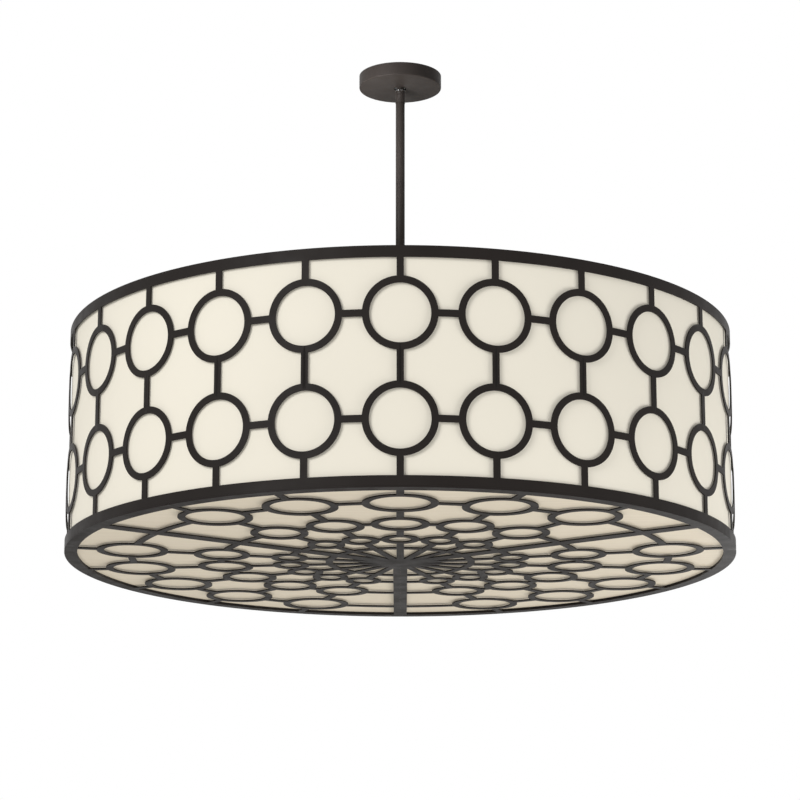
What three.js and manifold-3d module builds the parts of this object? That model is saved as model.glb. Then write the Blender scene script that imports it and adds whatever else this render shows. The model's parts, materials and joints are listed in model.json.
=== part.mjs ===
// Drum chandelier: a pierced metal drum with diffusers, hung on one stem from a ceiling canopy.
// Units are millimetres, +Z is up and the ceiling is the plane z = 0.
// Angles start at the front (-Y) and grow towards +X.

import * as THREE from 'three';
import { mergeVertices } from 'three/addons/utils/BufferGeometryUtils.js';
import Module from 'manifold-3d';

const wasm = await Module();
wasm.setup();

// Driving sizes of the whole
const drumRadius = 762;
const drumHeight = 512;
const ceilingToDrum = 658;
const stemRadius = 10.65;
const canopyRadius = 97.3;
const canopyHeight = 31;
const seatGap = 0.3;
const cutOverrun = 2;
const weldTolerance = 1e-4;
const meshTolerance = 0.001;

// Pattern of the side: the rows are shares of the drum's height apart
const columns = 24;
const rowSpacingShare = 0.4367;
const sideLinkLength = 41.3;
const barWidth = 15;
const bandHeight = 25;
const grilleThickness = 3;

// Pattern of the bottom: a row of circles lies at each place, in shares of the drum's radius
const bottomSections = 3;
const spokePositions = 18;
const circleRowShares = [
  { place: 0.8015, size: 0.1055 },
  { place: 0.5365, size: 0.0833 },
  { place: 0.3345, size: 0.0551 },
];
const innerHoopShare = 0.2125;
const bottomBarWidth = 16.5;
const rimWidth = 29;
const seamBarWidth = 16.25;
const sectionGap = 0.5;
const dishDrop = 10;

// Diffusers and the rolled angles that stiffen the drum
const diffuserThickness = 3;
const angleThickness = 3;
const angleWidth = 25;
const angleDepth = 21;
const diffuserSeam = 0.6;
const diffuserSideGap = 1.2;
const diffuserHubLap = 11;
const jointStripWidth = 30;
const jointStripThickness = 2;
const clipWidth = 24;
const clipFoot = 12;
const clipDrop = 16;
const clipThickness = 2;

// Spider
const spiderArms = 6;
const armWidth = 25;
const armThickness = 8;
const armRootGap = 6.35;
const armEndGap = 2.4;
const hubLap = 27;
const hubFlangeThickness = 5;
const hubBossWall = 9;
const hubBossDrop = 19;
const hubCollarWall = 7;
const hubCollarHeight = 16;
const hubNutWall = 6;
const hubNutThickness = 10;
const hubPlateRadius = 46;
const hubPlateHole = 5;

// Lamps
const lamps = 6;
const lampRadius = 360;
const clusterDrop = 242;
const clusterNeckWall = 4;
const clusterNeckHeight = 8;
const clusterShoulder = 6;
const clusterRadius = 38;
const clusterHeight = 40;
const stemInsert = 12;
const lampArmRadius = 5;
const lampArmInsert = 8;
const lampArmClearance = 0.6;
const lampArmBend = 30;
const lampArmRise = 18;
const capInset = 2;
const capThickness = 4;
const finialRadius = 12;
const finialHeight = 16;
const finialNeckShare = 0.7;
const finialStudRadius = 5.8;
const finialStudLength = 14;
const socketFootRadius = 10;
const socketFootHeight = 8;
const socketShoulder = 6;
const socketFloor = 8;
const socketWall = 4.8;
const socketBoreDepth = 30;
const bulbClearance = 1;
const bulbBaseRadius = 13.2;
const bulbBaseProud = 1;
const bulbRadius = 30;
const bulbLength = 108;
const bulbNeckAngle = -45;

// Swivel at the ceiling
const ballRadius = 13.5;
const ballHeight = 14;
const ballTopCut = 8;
const neckLength = 33;
const neckWall = 3;
const neckSwing = 6.4;
const linerGap = 0.4;
const linerThickness = 0.9;
const linerFrom = 60;
const linerTo = 92;
const seatWall = 2.3;
const canopyWall = 1.8;
const canopyEdge = 2.3;
const strapThickness = 3;
const strapWidth = 36;
const strapEndGap = 3.1;
const strapEar = 18;
const saddleMargin = 9.5;
const boxScrewSpacing = 88.9;
const slotLength = 13;
const slotWidth = 5;
const setScrewRadius = 2;
const setScrewClearance = 0.2;
const setScrewDrop = 10;

// Coupling between the ball and the stem
const couplingDrop = 6;
const couplingRim = 1.1;
const couplingRimHeight = 2;
const couplingStep = 0.25;
const couplingWall = 2.55;
const couplingHeight = 31;
const threadClearance = 0.35;
const spigotLength = 12;
const stemWall = 2.6;

// Facets and steps of the round forms
const sideHoleSteps = 5;
const sideRimSteps = 2;
const circleSides = [10, 8, 8];
const diffuserSteps = 8;
const canopySides = 24;
const canopyEdgeSteps = 2;
const turnedSides = 16;
const swivelSides = 20;
const ballSteps = 5;
const linerSteps = 2;
const lampSides = 8;
const lampArmSides = 6;
const lampArmBendSteps = 3;
const bulbSteps = 3;
const hexSides = 6;

// Heights in the drum's own frame, whose origin is the middle of the underside of its rim
const drumBottom = -ceilingToDrum - drumHeight;
const sheetBottom = grilleThickness + seatGap;
const angleTop = sheetBottom + angleThickness;
const diffuserBottom = angleTop + seatGap;
const topAngleUnderside = drumHeight - angleThickness;
const diffuserTop = topAngleUnderside - seatGap;

// Radii of the hoops, from the outside inwards, at the corners of their facets
const facets = 2 * columns;
const facetAngle = (2 * Math.PI) / facets;
const sheetInside = drumRadius - grilleThickness;
const angleOutside = sheetInside - seatGap;
const angleInside = angleOutside - angleWidth;
const diffuserOutside = angleOutside - angleThickness - seatGap;
const diffuserInside = diffuserOutside - diffuserThickness;
const stripOutside = diffuserInside - seatGap;
const stripInside = stripOutside - jointStripThickness;

// Radii of what is turned, from the stem outwards
const hubBore = stemRadius + seatGap;
const couplingRadius = stemRadius + couplingStep;
const neckRadius = couplingRadius - couplingWall - threadClearance;
const neckBore = neckRadius - neckWall;
const throatRadius = neckRadius + neckSwing;
const wireHoleRadius = finialStudRadius + threadClearance;

// Materials
function finish(color, roughness, metalness) {
  return new THREE.MeshStandardMaterial({ color, roughness, metalness });
}
const bronze = finish(0x38322e, 0.5, 0.6);
const zinc = finish(0x9a9c9e, 0.4, 0.9);
const brass = finish(0xb08d4a, 0.35, 0.9);
const sideAcrylic = finish(0xe8e2d4, 0.6, 0);
const bottomAcrylic = finish(0xcdbfa5, 0.6, 0);
const nylon = finish(0xe9e6dc, 0.6, 0);
const ceramic = finish(0xf1eee6, 0.35, 0);
const frostedGlass = finish(0xf6f4ee, 0.4, 0);

// Geometry helpers

function enclosedVolume(positions, index) {
  const corners = [new THREE.Vector3(), new THREE.Vector3(), new THREE.Vector3()];
  let volume = 0;
  for (let i = 0; i < index.length; i += 3) {
    corners.forEach((corner, n) => corner.fromBufferAttribute(positions, index[i + n]));
    volume += corners[0].dot(corners[1].clone().cross(corners[2])) / 6;
  }
  return volume;
}

// Welds a geometry's vertices, drops its empty triangles and turns its faces outwards
function closed(geometry) {
  const bare = geometry.clone();
  bare.deleteAttribute('normal');
  bare.deleteAttribute('uv');
  const welded = mergeVertices(bare, weldTolerance);
  const source = welded.index ? welded.index.array : welded.attributes.position.array.map((_, i) => i);
  const kept = [];
  for (let i = 0; i < source.length; i += 3) {
    const [a, b, c] = [source[i], source[i + 1], source[i + 2]];
    if (a !== b && b !== c && c !== a) kept.push(a, b, c);
  }
  if (enclosedVolume(welded.attributes.position, kept) < 0) kept.reverse();
  welded.setIndex(kept);
  return welded;
}

function toSolid(geometry) {
  const shell = closed(geometry);
  return new wasm.Manifold(new wasm.Mesh({
    numProp: 3,
    vertProperties: new Float32Array(shell.attributes.position.array),
    triVerts: new Uint32Array(shell.index.array),
  }));
}

function toGeometry(solid) {
  const mesh = solid.asOriginal().simplify(meshTolerance).getMesh();
  const geometry = new THREE.BufferGeometry();
  geometry.setAttribute('position', new THREE.BufferAttribute(new Float32Array(mesh.vertProperties), 3));
  geometry.setIndex(Array.from(mesh.triVerts));
  return closed(geometry);
}

function joined(geometries) {
  return geometries.map(toSolid).reduce((whole, piece) => whole.add(piece));
}

function cut(geometry, cutters) {
  return toGeometry(toSolid(geometry).subtract(joined(cutters)));
}

// A point at a radius and an angle from the front
function polar(radius, angle, z = 0) {
  return new THREE.Vector3(radius * Math.sin(angle), -radius * Math.cos(angle), z);
}

// Revolves a profile of [radius, height] points about Z
function revolved(profile, sides) {
  const points = profile.map(([radius, z]) => new THREE.Vector2(radius, z));
  return closed(new THREE.LatheGeometry(points, sides).rotateX(Math.PI / 2));
}

// A ring-shaped solid whose profile closes on itself
function ringOf(profile, sides) {
  return revolved([...profile, profile[0]], sides);
}

// Points of a profile along an arc, with its angles in degrees from the outward direction
function profileArc(centreRadius, centreHeight, radius, from, to, steps) {
  return Array.from({ length: steps + 1 }, (_, i) => {
    const angle = THREE.MathUtils.degToRad(from + ((to - from) * i) / steps);
    return [centreRadius + radius * Math.cos(angle), centreHeight + radius * Math.sin(angle)];
  });
}

// An upright prism on a plan, standing at a height
function prism(plan, z, height) {
  return new THREE.ExtrudeGeometry(plan, { depth: height, bevelEnabled: false }).translate(0, 0, z);
}

// An upright round or polygonal post
function post(radius, z, height, sides) {
  return new THREE.CylinderGeometry(radius, radius, height, sides)
    .rotateX(Math.PI / 2)
    .translate(0, 0, z + height / 2);
}

// A flat bar between two points of the plan
function flatBar(start, end, width, thickness) {
  const run = end.clone().sub(start);
  const middle = start.clone().add(end).divideScalar(2);
  return new THREE.BoxGeometry(run.length(), width, thickness)
    .rotateZ(Math.atan2(run.y, run.x))
    .translate(middle.x, middle.y, thickness / 2);
}

// The hoops of the drum share one set of flat facets, so that they nest with even gaps

function facetRadius(cornerRadius, angle) {
  const within = THREE.MathUtils.euclideanModulo(angle, facetAngle) - facetAngle / 2;
  return (cornerRadius * Math.cos(facetAngle / 2)) / Math.cos(within);
}

// The two end angles and the facet corners between them
function facetStops(from, to) {
  const corners = Array.from({ length: 2 * facets + 1 }, (_, i) => (i - facets) * facetAngle);
  const tolerance = facetAngle / 1000;
  return [from, ...corners.filter((angle) => angle > from + tolerance && angle < to - tolerance), to];
}

// Plan of a wall that follows the facets between two angles
function wallPlan(outerRadius, thickness, from, to) {
  const edge = (radius) => facetStops(from, to).map((angle) => polar(facetRadius(radius, angle), angle));
  return new THREE.Shape([...edge(outerRadius), ...edge(outerRadius - thickness).reverse()]);
}

// How far the dished bottom hangs below its rim at a radius
function dishAt(radius) {
  return dishDrop * (1 - radius / drumRadius);
}

function dished(geometry) {
  const shaped = closed(geometry);
  const positions = shaped.attributes.position;
  for (let i = 0; i < positions.count; i += 1) {
    const radius = Math.hypot(positions.getX(i), positions.getY(i));
    positions.setZ(i, positions.getZ(i) - dishAt(radius));
  }
  return shaped;
}

// Side grille: one sheet of rings and bars, rolled to a hoop

// Half a repeat of the pattern, from a column's centre line to the middle of its link bars
function sideFacetOutline(width) {
  const half = barWidth / 2;
  const ringRadius = width - sideLinkLength / 2;
  const bare = Math.asin(half / ringRadius);
  const holeRadius = ringRadius - barWidth;
  const rows = [-1, 1].map((side) => (drumHeight * (1 + side * rowSpacingShare)) / 2);
  const point = (x, z) => new THREE.Vector2(x, z);
  const arc = (centre, radius, from, to, steps) => Array.from({ length: steps + 1 }, (_, i) => {
    const angle = from + ((to - from) * i) / steps;
    return point(radius * Math.cos(angle), centre + radius * Math.sin(angle));
  });
  const ringAndLink = (centre) => [
    ...arc(centre, ringRadius, bare - Math.PI / 2, -bare, sideRimSteps),
    point(width, centre - half),
    point(width, centre + half),
    ...arc(centre, ringRadius, bare, Math.PI / 2 - bare, sideRimSteps),
  ];
  const hole = (centre) => [
    point(0, centre + holeRadius),
    ...arc(centre, holeRadius, Math.PI / 2, -Math.PI / 2, sideHoleSteps).slice(1, -1),
    point(0, centre - holeRadius),
  ];
  return [
    point(0, sheetBottom),
    point(width, sheetBottom),
    point(width, bandHeight),
    point(half, bandHeight),
    ...rows.flatMap(ringAndLink),
    point(half, drumHeight - bandHeight),
    point(width, drumHeight - bandHeight),
    point(width, drumHeight),
    point(0, drumHeight),
    ...rows.reverse().flatMap(hole),
  ];
}

// Every facet carries the outline or its mirror image, and neighbours share their side edges
function sideGrille() {
  const width = 2 * drumRadius * Math.sin(facetAngle / 2);
  const outline = sideFacetOutline(width);
  const triangles = THREE.ShapeUtils.triangulateShape(outline, []);
  const onSide = (a, b) => a.x === b.x && (a.x === 0 || a.x === width);
  const positions = [];
  for (let facet = 0; facet < facets; facet += 1) {
    const mirrored = facet % 2 === 1;
    const axisAngle = ((facet + (mirrored ? 1 : 0)) % facets) * facetAngle;
    const linkAngle = ((facet + (mirrored ? 0 : 1)) % facets) * facetAngle;
    const place = (point, radius) => polar(radius, axisAngle)
      .multiplyScalar(1 - point.x / width)
      .addScaledVector(polar(radius, linkAngle), point.x / width)
      .setZ(point.y);
    const outer = outline.map((point) => place(point, drumRadius));
    const inner = outline.map((point) => place(point, sheetInside));
    const face = (...corners) => {
      const ordered = mirrored ? corners.reverse() : corners;
      ordered.forEach((corner) => positions.push(...corner.toArray()));
    };
    triangles.forEach(([a, b, c]) => {
      face(outer[a], outer[b], outer[c]);
      face(inner[c], inner[b], inner[a]);
    });
    outline.forEach((point, i) => {
      const next = (i + 1) % outline.length;
      if (onSide(point, outline[next])) return;
      face(outer[i], inner[i], outer[next]);
      face(outer[next], inner[i], inner[next]);
    });
  }
  const geometry = new THREE.BufferGeometry();
  geometry.setAttribute('position', new THREE.Float32BufferAttribute(positions, 3));
  return closed(geometry);
}

// Bottom grille: one of three equal sections, made about the front and turned into place

// Plan of the space that a section may fill, with half the gap kept at each seam
function sectionPlan(gap) {
  const half = Math.PI / bottomSections;
  const apex = polar(gap / 2 / Math.sin(half), 0);
  const reach = 2 * drumRadius;
  const corners = [-half, 0, half].map((angle) => polar(reach, angle).add(apex));
  return new THREE.Shape([apex, ...corners]);
}

function bottomGrille() {
  const half = Math.PI / bottomSections;
  const step = (2 * Math.PI) / spokePositions;
  const stations = Array.from({ length: spokePositions / bottomSections + 1 }, (_, i) => i * step - half);
  const spokes = stations.slice(1, -1);
  const rimMiddle = drumRadius - rimWidth / 2;
  const radial = (angle, width) => flatBar(polar(0, 0), polar(rimMiddle, angle), width, grilleThickness);
  const hoop = (middle, width) => prism(
    wallPlan(middle + width / 2, width, -half - step, half + step),
    0,
    grilleThickness,
  );
  const hoops = [innerHoopShare, ...circleRowShares.map((row) => row.place)].map(
    (share) => hoop(share * drumRadius, bottomBarWidth),
  );
  const circles = (inset, z, height) => circleRowShares.flatMap((row, i) => spokes.map((angle) => {
    const centre = polar(row.place * drumRadius, angle);
    return post(row.size * drumRadius - inset, z, height, circleSides[i])
      .rotateZ(angle)
      .translate(centre.x, centre.y, 0);
  }));
  const metalwork = joined([
    hoop(rimMiddle, rimWidth),
    ...spokes.map((angle) => radial(angle, bottomBarWidth)),
    ...[-half, half].map((angle) => radial(angle, 2 * seamBarWidth)),
    ...hoops,
    ...circles(0, 0, grilleThickness),
  ]);
  const holes = circles(bottomBarWidth, -cutOverrun, grilleThickness + 2 * cutOverrun);
  const section = prism(sectionPlan(sectionGap), -cutOverrun, grilleThickness + 2 * cutOverrun);
  return dished(toGeometry(metalwork.subtract(joined(holes)).intersect(toSolid(section))));
}

// Rolled angles, with one leg on the grille's band and the other turned inwards

function bottomRing() {
  return ringOf([
    [angleInside, sheetBottom],
    [angleOutside, sheetBottom],
    [angleOutside, sheetBottom + angleDepth],
    [angleOutside - angleThickness, sheetBottom + angleDepth],
    [angleOutside - angleThickness, angleTop],
    [angleInside, angleTop],
  ], facets);
}

function topRing() {
  return ringOf([
    [angleInside, drumHeight],
    [angleInside, topAngleUnderside],
    [angleOutside - angleThickness, topAngleUnderside],
    [angleOutside - angleThickness, drumHeight - angleDepth],
    [angleOutside, drumHeight - angleDepth],
    [angleOutside, drumHeight],
  ], facets);
}

// Diffusers

function sideDiffuser(from, to) {
  const seam = diffuserSeam / 2 / diffuserOutside;
  const plan = wallPlan(diffuserOutside, diffuserThickness, from + seam, to - seam);
  return prism(plan, diffuserBottom, diffuserTop - diffuserBottom);
}

function jointStrip(angle) {
  const half = jointStripWidth / 2 / stripOutside;
  const plan = wallPlan(stripOutside, jointStripThickness, angle - half, angle + half);
  return prism(plan, diffuserBottom, diffuserTop - diffuserBottom);
}

// A foot under the top ring's inner leg and a leg down the inside of the diffuser
function diffuserClip() {
  const half = clipWidth / 2 / stripOutside;
  const foot = wallPlan(stripOutside, clipFoot, -half, half);
  const leg = wallPlan(stripOutside, clipThickness, -half, half);
  return toGeometry(joined([
    prism(foot, diffuserTop - clipThickness, clipThickness),
    prism(leg, diffuserTop - clipDrop, clipDrop),
  ]));
}

// A sheet of even thickness on a grid of points
function slab(grid, thickness) {
  const raised = grid.map((row) => row.map((point) => point.clone().setZ(point.z + thickness)));
  const positions = [];
  const quad = (a, b, c, d) => [a, b, c, a, c, d].forEach((point) => positions.push(...point.toArray()));
  const lastRow = grid.length - 1;
  const lastColumn = grid[0].length - 1;
  for (let i = 0; i < lastRow; i += 1) {
    for (let j = 0; j < lastColumn; j += 1) {
      quad(raised[i][j], raised[i + 1][j], raised[i + 1][j + 1], raised[i][j + 1]);
      quad(grid[i][j], grid[i][j + 1], grid[i + 1][j + 1], grid[i + 1][j]);
    }
  }
  for (let i = 0; i < lastRow; i += 1) {
    quad(grid[i][0], grid[i + 1][0], raised[i + 1][0], raised[i][0]);
    quad(grid[i + 1][lastColumn], grid[i][lastColumn], raised[i][lastColumn], raised[i + 1][lastColumn]);
  }
  for (let j = 0; j < lastColumn; j += 1) {
    quad(grid[lastRow][j], grid[lastRow][j + 1], raised[lastRow][j + 1], raised[lastRow][j]);
    quad(grid[0][j + 1], grid[0][j], raised[0][j], raised[0][j + 1]);
  }
  const geometry = new THREE.BufferGeometry();
  geometry.setAttribute('position', new THREE.Float32BufferAttribute(positions, 3));
  return closed(geometry);
}

// Flat where it lies on the bottom ring, and dished inside that like the grille below it
function bottomDiffuser() {
  const half = Math.PI / bottomSections;
  const radii = [hubPlateRadius - diffuserHubLap, angleInside, stripInside - diffuserSideGap];
  const stops = Array.from({ length: diffuserSteps + 1 }, (_, i) => half * ((2 * i) / diffuserSteps - 1));
  const insets = stops.map((angle) => polar(sectionGap / 2, angle - Math.sign(angle) * (Math.PI / 2)));
  return slab(radii.map((radius) => {
    const drop = Math.max(0, dishAt(radius) - dishAt(angleInside));
    return stops.map((angle, i) => {
      const point = polar(radius, angle, diffuserBottom - drop);
      return i === 0 || i === diffuserSteps ? point.add(insets[i]) : point;
    });
  }), diffuserThickness);
}

function hubPlate() {
  const underside = grilleThickness + seatGap;
  return dished(ringOf([
    [hubPlateHole, underside],
    [hubPlateRadius, underside],
    [hubPlateRadius, underside + angleThickness],
    [hubPlateHole, underside + angleThickness],
  ], turnedSides));
}

// Spider that carries the drum on the stem

const armTop = topAngleUnderside - seatGap;
const armStart = armWidth / 2 / Math.tan(Math.PI / spiderArms) + armRootGap;

function spiderArm() {
  const length = stripInside - armEndGap - armStart;
  return new THREE.BoxGeometry(armWidth, length, armThickness)
    .translate(0, -armStart - length / 2, armTop - armThickness / 2);
}

function spiderHub() {
  const bossBottom = topAngleUnderside - hubBossDrop;
  const flangeTop = topAngleUnderside + hubFlangeThickness;
  return ringOf([
    [hubBore, bossBottom],
    [hubBore + hubBossWall, bossBottom],
    [hubBore + hubBossWall, topAngleUnderside],
    [armStart + hubLap, topAngleUnderside],
    [armStart + hubLap, flangeTop],
    [hubBore + hubCollarWall, flangeTop],
    [hubBore + hubCollarWall, flangeTop + hubCollarHeight],
    [hubBore, flangeTop + hubCollarHeight],
  ], turnedSides);
}

function hubNut() {
  const bottom = topAngleUnderside - hubBossDrop - seatGap - hubNutThickness;
  const hole = post(hubBore, bottom - cutOverrun, hubNutThickness + 2 * cutOverrun, turnedSides);
  return cut(post(hubBore + hubNutWall, bottom, hubNutThickness, hexSides), [hole]);
}

// Lamp cluster

const clusterTop = drumHeight - clusterDrop;
const clusterBase = clusterTop - clusterNeckHeight - clusterShoulder - clusterHeight;
const lampArmHeight = clusterBase + clusterHeight / 2;
const lampArmTop = lampArmHeight + lampArmBend + lampArmRise;

function clusterBody() {
  const body = ringOf([
    [hubBore, clusterTop],
    [hubBore + clusterNeckWall, clusterTop],
    [hubBore + clusterNeckWall, clusterTop - clusterNeckHeight],
    [clusterRadius, clusterBase + clusterHeight],
    [clusterRadius, clusterBase],
    [wireHoleRadius, clusterBase],
    [wireHoleRadius, clusterTop - stemInsert],
    [hubBore, clusterTop - stemInsert],
  ], turnedSides);
  const depth = lampArmInsert + seatGap + cutOverrun;
  const bore = (_, i) => post(lampArmRadius + lampArmClearance, 0, depth, lampSides)
    .rotateX(Math.PI / 2)
    .translate(0, -clusterRadius - cutOverrun + depth, lampArmHeight)
    .rotateZ((i * 2 * Math.PI) / lamps);
  return cut(body, Array.from({ length: lamps }, bore));
}

function clusterCap() {
  const top = clusterBase - seatGap;
  const radius = clusterRadius - capInset;
  return ringOf([
    [wireHoleRadius, top - capThickness],
    [radius - capThickness / 2, top - capThickness],
    [radius, top - capThickness / 2],
    [radius, top],
    [wireHoleRadius, top],
  ], turnedSides);
}

function clusterFinial() {
  const top = clusterBase - seatGap - capThickness - seatGap;
  const neck = finialNeckShare * finialRadius;
  return revolved([
    [0, top - finialHeight],
    [finialRadius / 2, top - finialHeight],
    [finialRadius, top - finialHeight / 2],
    [neck, top],
    [finialStudRadius, top],
    [finialStudRadius, top + finialStudLength],
    [0, top + finialStudLength],
  ], lampSides);
}

// A path through given points, taken in even steps from point to point
class PointPath extends THREE.Curve {
  constructor(points) {
    super();
    this.points = points;
  }

  getPoint(t, target = new THREE.Vector3()) {
    const place = t * (this.points.length - 1);
    const index = Math.min(Math.floor(place), this.points.length - 2);
    return target.lerpVectors(this.points[index], this.points[index + 1], place - index);
  }

  getPointAt(u, target) {
    return this.getPoint(u, target);
  }

  getTangentAt(u, target) {
    return this.getTangent(u, target);
  }
}

// Out from the cluster body, then up to the socket
function lampArm() {
  const bendRadius = lampRadius - lampArmBend;
  const bend = profileArc(bendRadius, lampArmHeight + lampArmBend, lampArmBend, -90, 0, lampArmBendSteps);
  const profile = [
    [clusterRadius - lampArmInsert, lampArmHeight],
    ...bend,
    [lampRadius, lampArmTop],
  ];
  const path = new PointPath(profile.map(([radius, z]) => polar(radius, 0, z)));
  const section = new THREE.Shape(Array.from({ length: lampArmSides }, (_, i) => {
    const angle = (i * 2 * Math.PI) / lampArmSides;
    return new THREE.Vector2(lampArmRadius * Math.cos(angle), lampArmRadius * Math.sin(angle));
  }));
  return new THREE.ExtrudeGeometry(section, {
    steps: profile.length - 1,
    bevelEnabled: false,
    extrudePath: path,
  });
}

const socketBoreFloor = socketFootHeight + socketShoulder + socketFloor;
const socketBore = bulbBaseRadius + bulbClearance;

function socket() {
  const top = socketBoreFloor + socketBoreDepth;
  return revolved([
    [0, 0],
    [socketFootRadius, 0],
    [socketFootRadius, socketFootHeight],
    [socketBore + socketWall, socketFootHeight + socketShoulder],
    [socketBore + socketWall, top],
    [socketBore, top],
    [socketBore, socketBoreFloor],
    [0, socketBoreFloor],
  ], lampSides);
}

function bulb() {
  const centre = bulbLength - bulbRadius;
  return revolved([
    [0, 0],
    [bulbBaseRadius, 0],
    [bulbBaseRadius, socketBoreDepth + bulbBaseProud],
    ...profileArc(0, centre, bulbRadius, bulbNeckAngle, 90, bulbSteps),
  ], lampSides);
}

// Ceiling end: bracket, canopy and hang-straight swivel

const ballCentre = ballHeight - canopyHeight;
const saddleUnderside = canopyWall + seatGap - canopyHeight;
const saddleTop = saddleUnderside + strapThickness;
const linerInside = ballRadius + linerGap;
const linerOutside = linerInside + linerThickness;
const seatRadius = linerOutside + linerGap;
const seatRingRadius = seatRadius + seatWall;
const strapReach = canopyRadius - canopyWall - strapEndGap;

// A strap bent to a hat, with an ear turned down at each end
function hangerBracket() {
  const saddleReach = seatRingRadius + saddleMargin;
  const upper = [
    [-strapReach, -strapEar],
    [-strapReach, 0],
    [-saddleReach, 0],
    [-saddleReach, saddleTop],
    [saddleReach, saddleTop],
    [saddleReach, 0],
    [strapReach, 0],
    [strapReach, -strapEar],
  ];
  const inner = strapReach - strapThickness;
  const legOutside = saddleReach + strapThickness;
  const lower = [
    [inner, -strapEar],
    [inner, -strapThickness],
    [legOutside, -strapThickness],
    [legOutside, saddleUnderside],
    [-legOutside, saddleUnderside],
    [-legOutside, -strapThickness],
    [-inner, -strapThickness],
    [-inner, -strapEar],
  ];
  const outline = new THREE.Shape([...upper, ...lower].map(([x, z]) => new THREE.Vector2(x, z)));
  const strap = new THREE.ExtrudeGeometry(outline, { depth: strapWidth, bevelEnabled: false })
    .rotateX(Math.PI / 2)
    .translate(0, strapWidth / 2, 0);
  const depth = strapThickness + 2 * cutOverrun;
  const saddleHole = post(throatRadius, saddleUnderside - cutOverrun, depth, turnedSides);
  const slot = (side) => {
    const half = (slotLength - slotWidth) / 2;
    const end = (x) => post(slotWidth / 2, -depth / 2, depth, lampSides).translate(x, 0, 0);
    const middle = new THREE.BoxGeometry(2 * half, slotWidth, depth);
    const whole = joined([end(-half), end(half), middle]);
    return toGeometry(whole).translate((side * boxScrewSpacing) / 2, 0, -strapThickness / 2);
  };
  return cut(strap, [saddleHole, slot(-1), slot(1), setScrewHole(-1), setScrewHole(1)]);
}

// The hole that a set screw takes through the canopy's wall and the bracket's ear
function setScrewHole(side) {
  const length = canopyRadius - strapReach + strapThickness + 2 * cutOverrun;
  return post(setScrewRadius + setScrewClearance, 0, length, lampSides)
    .rotateY(Math.PI / 2)
    .translate(strapReach - strapThickness - cutOverrun, 0, -setScrewDrop)
    .rotateZ(side < 0 ? Math.PI : 0);
}

function setScrew() {
  const start = strapReach - 2 * strapThickness;
  return post(setScrewRadius, 0, canopyRadius - start, lampSides)
    .rotateY(Math.PI / 2)
    .translate(start, 0, -setScrewDrop);
}

function canopy() {
  const edgeCentre = canopyEdge - canopyHeight;
  const dish = ringOf([
    [throatRadius, -canopyHeight],
    ...profileArc(canopyRadius - canopyEdge, edgeCentre, canopyEdge, -90, 0, canopyEdgeSteps),
    [canopyRadius, 0],
    [canopyRadius - canopyWall, 0],
    [canopyRadius - canopyWall, canopyWall - canopyHeight],
    [throatRadius, canopyWall - canopyHeight],
  ], canopySides);
  return cut(dish, [setScrewHole(-1), setScrewHole(1)]);
}

function ballSeat() {
  const bottom = saddleTop + seatGap;
  const lowest = THREE.MathUtils.radToDeg(Math.asin((bottom - ballCentre) / seatRadius));
  return ringOf([
    ...profileArc(0, ballCentre, seatRadius, lowest, 0, linerSteps),
    [seatRingRadius, ballCentre],
    [seatRingRadius, bottom],
  ], swivelSides);
}

function swivelLiner() {
  return ringOf([
    ...profileArc(0, ballCentre, linerOutside, linerFrom - 90, linerTo - 90, linerSteps),
    ...profileArc(0, ballCentre, linerInside, linerTo - 90, linerFrom - 90, linerSteps),
  ], swivelSides);
}

// A ball with a hollow neck that screws into the coupling
function swivelBall() {
  const neckEnd = ballCentre - neckLength;
  const neckAngle = THREE.MathUtils.radToDeg(Math.acos(neckRadius / ballRadius));
  const topAngle = THREE.MathUtils.radToDeg(Math.asin(ballTopCut / ballRadius));
  return ringOf([
    [neckBore, neckEnd],
    [neckRadius, neckEnd],
    ...profileArc(0, ballCentre, ballRadius, -neckAngle, topAngle, ballSteps),
    [neckBore, ballCentre + ballTopCut],
  ], swivelSides);
}

const couplingTop = -canopyHeight - couplingDrop;
const couplingBottom = couplingTop - couplingHeight;

function stemCoupling() {
  const bore = neckRadius + threadClearance;
  const boreFloor = ballCentre - neckLength - seatGap;
  const spigotRadius = stemRadius - stemWall - threadClearance;
  return ringOf([
    [bore, couplingTop],
    [couplingRadius + couplingRim, couplingTop],
    [couplingRadius + couplingRim, couplingTop - couplingRimHeight],
    [couplingRadius, couplingTop - couplingRimHeight],
    [couplingRadius, couplingBottom],
    [spigotRadius, couplingBottom],
    [spigotRadius, couplingBottom - spigotLength],
    [neckBore, couplingBottom - spigotLength],
    [neckBore, boreFloor],
    [bore, boreFloor],
  ], turnedSides);
}

function stem() {
  const top = couplingBottom - seatGap;
  const bottom = drumBottom + clusterTop - stemInsert + seatGap;
  return ringOf([
    [stemRadius - stemWall, bottom],
    [stemRadius, bottom],
    [stemRadius, top],
    [stemRadius - stemWall, top],
  ], turnedSides);
}

// The assembly

function piece(name, geometry, material, parent, turn = 0) {
  const mesh = new THREE.Mesh(geometry, material);
  mesh.name = name;
  mesh.rotation.z = turn;
  parent.add(mesh);
}

// One copy of a piece at each of a number of even turns
function around(name, count, geometry, material, parent, firstTurn = 0) {
  for (let i = 0; i < count; i += 1) {
    const turn = firstTurn + (i * 2 * Math.PI) / count;
    piece(`${name}_${i + 1}`, geometry, material, parent, turn);
  }
}

const chandelier = new THREE.Group();
const ceilingEnd = new THREE.Group();
const suspension = new THREE.Group();
const drum = new THREE.Group();
drum.position.z = drumBottom;
chandelier.add(ceilingEnd, suspension, drum);

piece('hanger_bracket', hangerBracket(), zinc, ceilingEnd);
piece('ball_seat', ballSeat(), zinc, ceilingEnd);
piece('canopy', canopy(), bronze, ceilingEnd);
piece('canopy_screw_right', setScrew(), zinc, ceilingEnd);
piece('canopy_screw_left', setScrew(), zinc, ceilingEnd, Math.PI);

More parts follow.
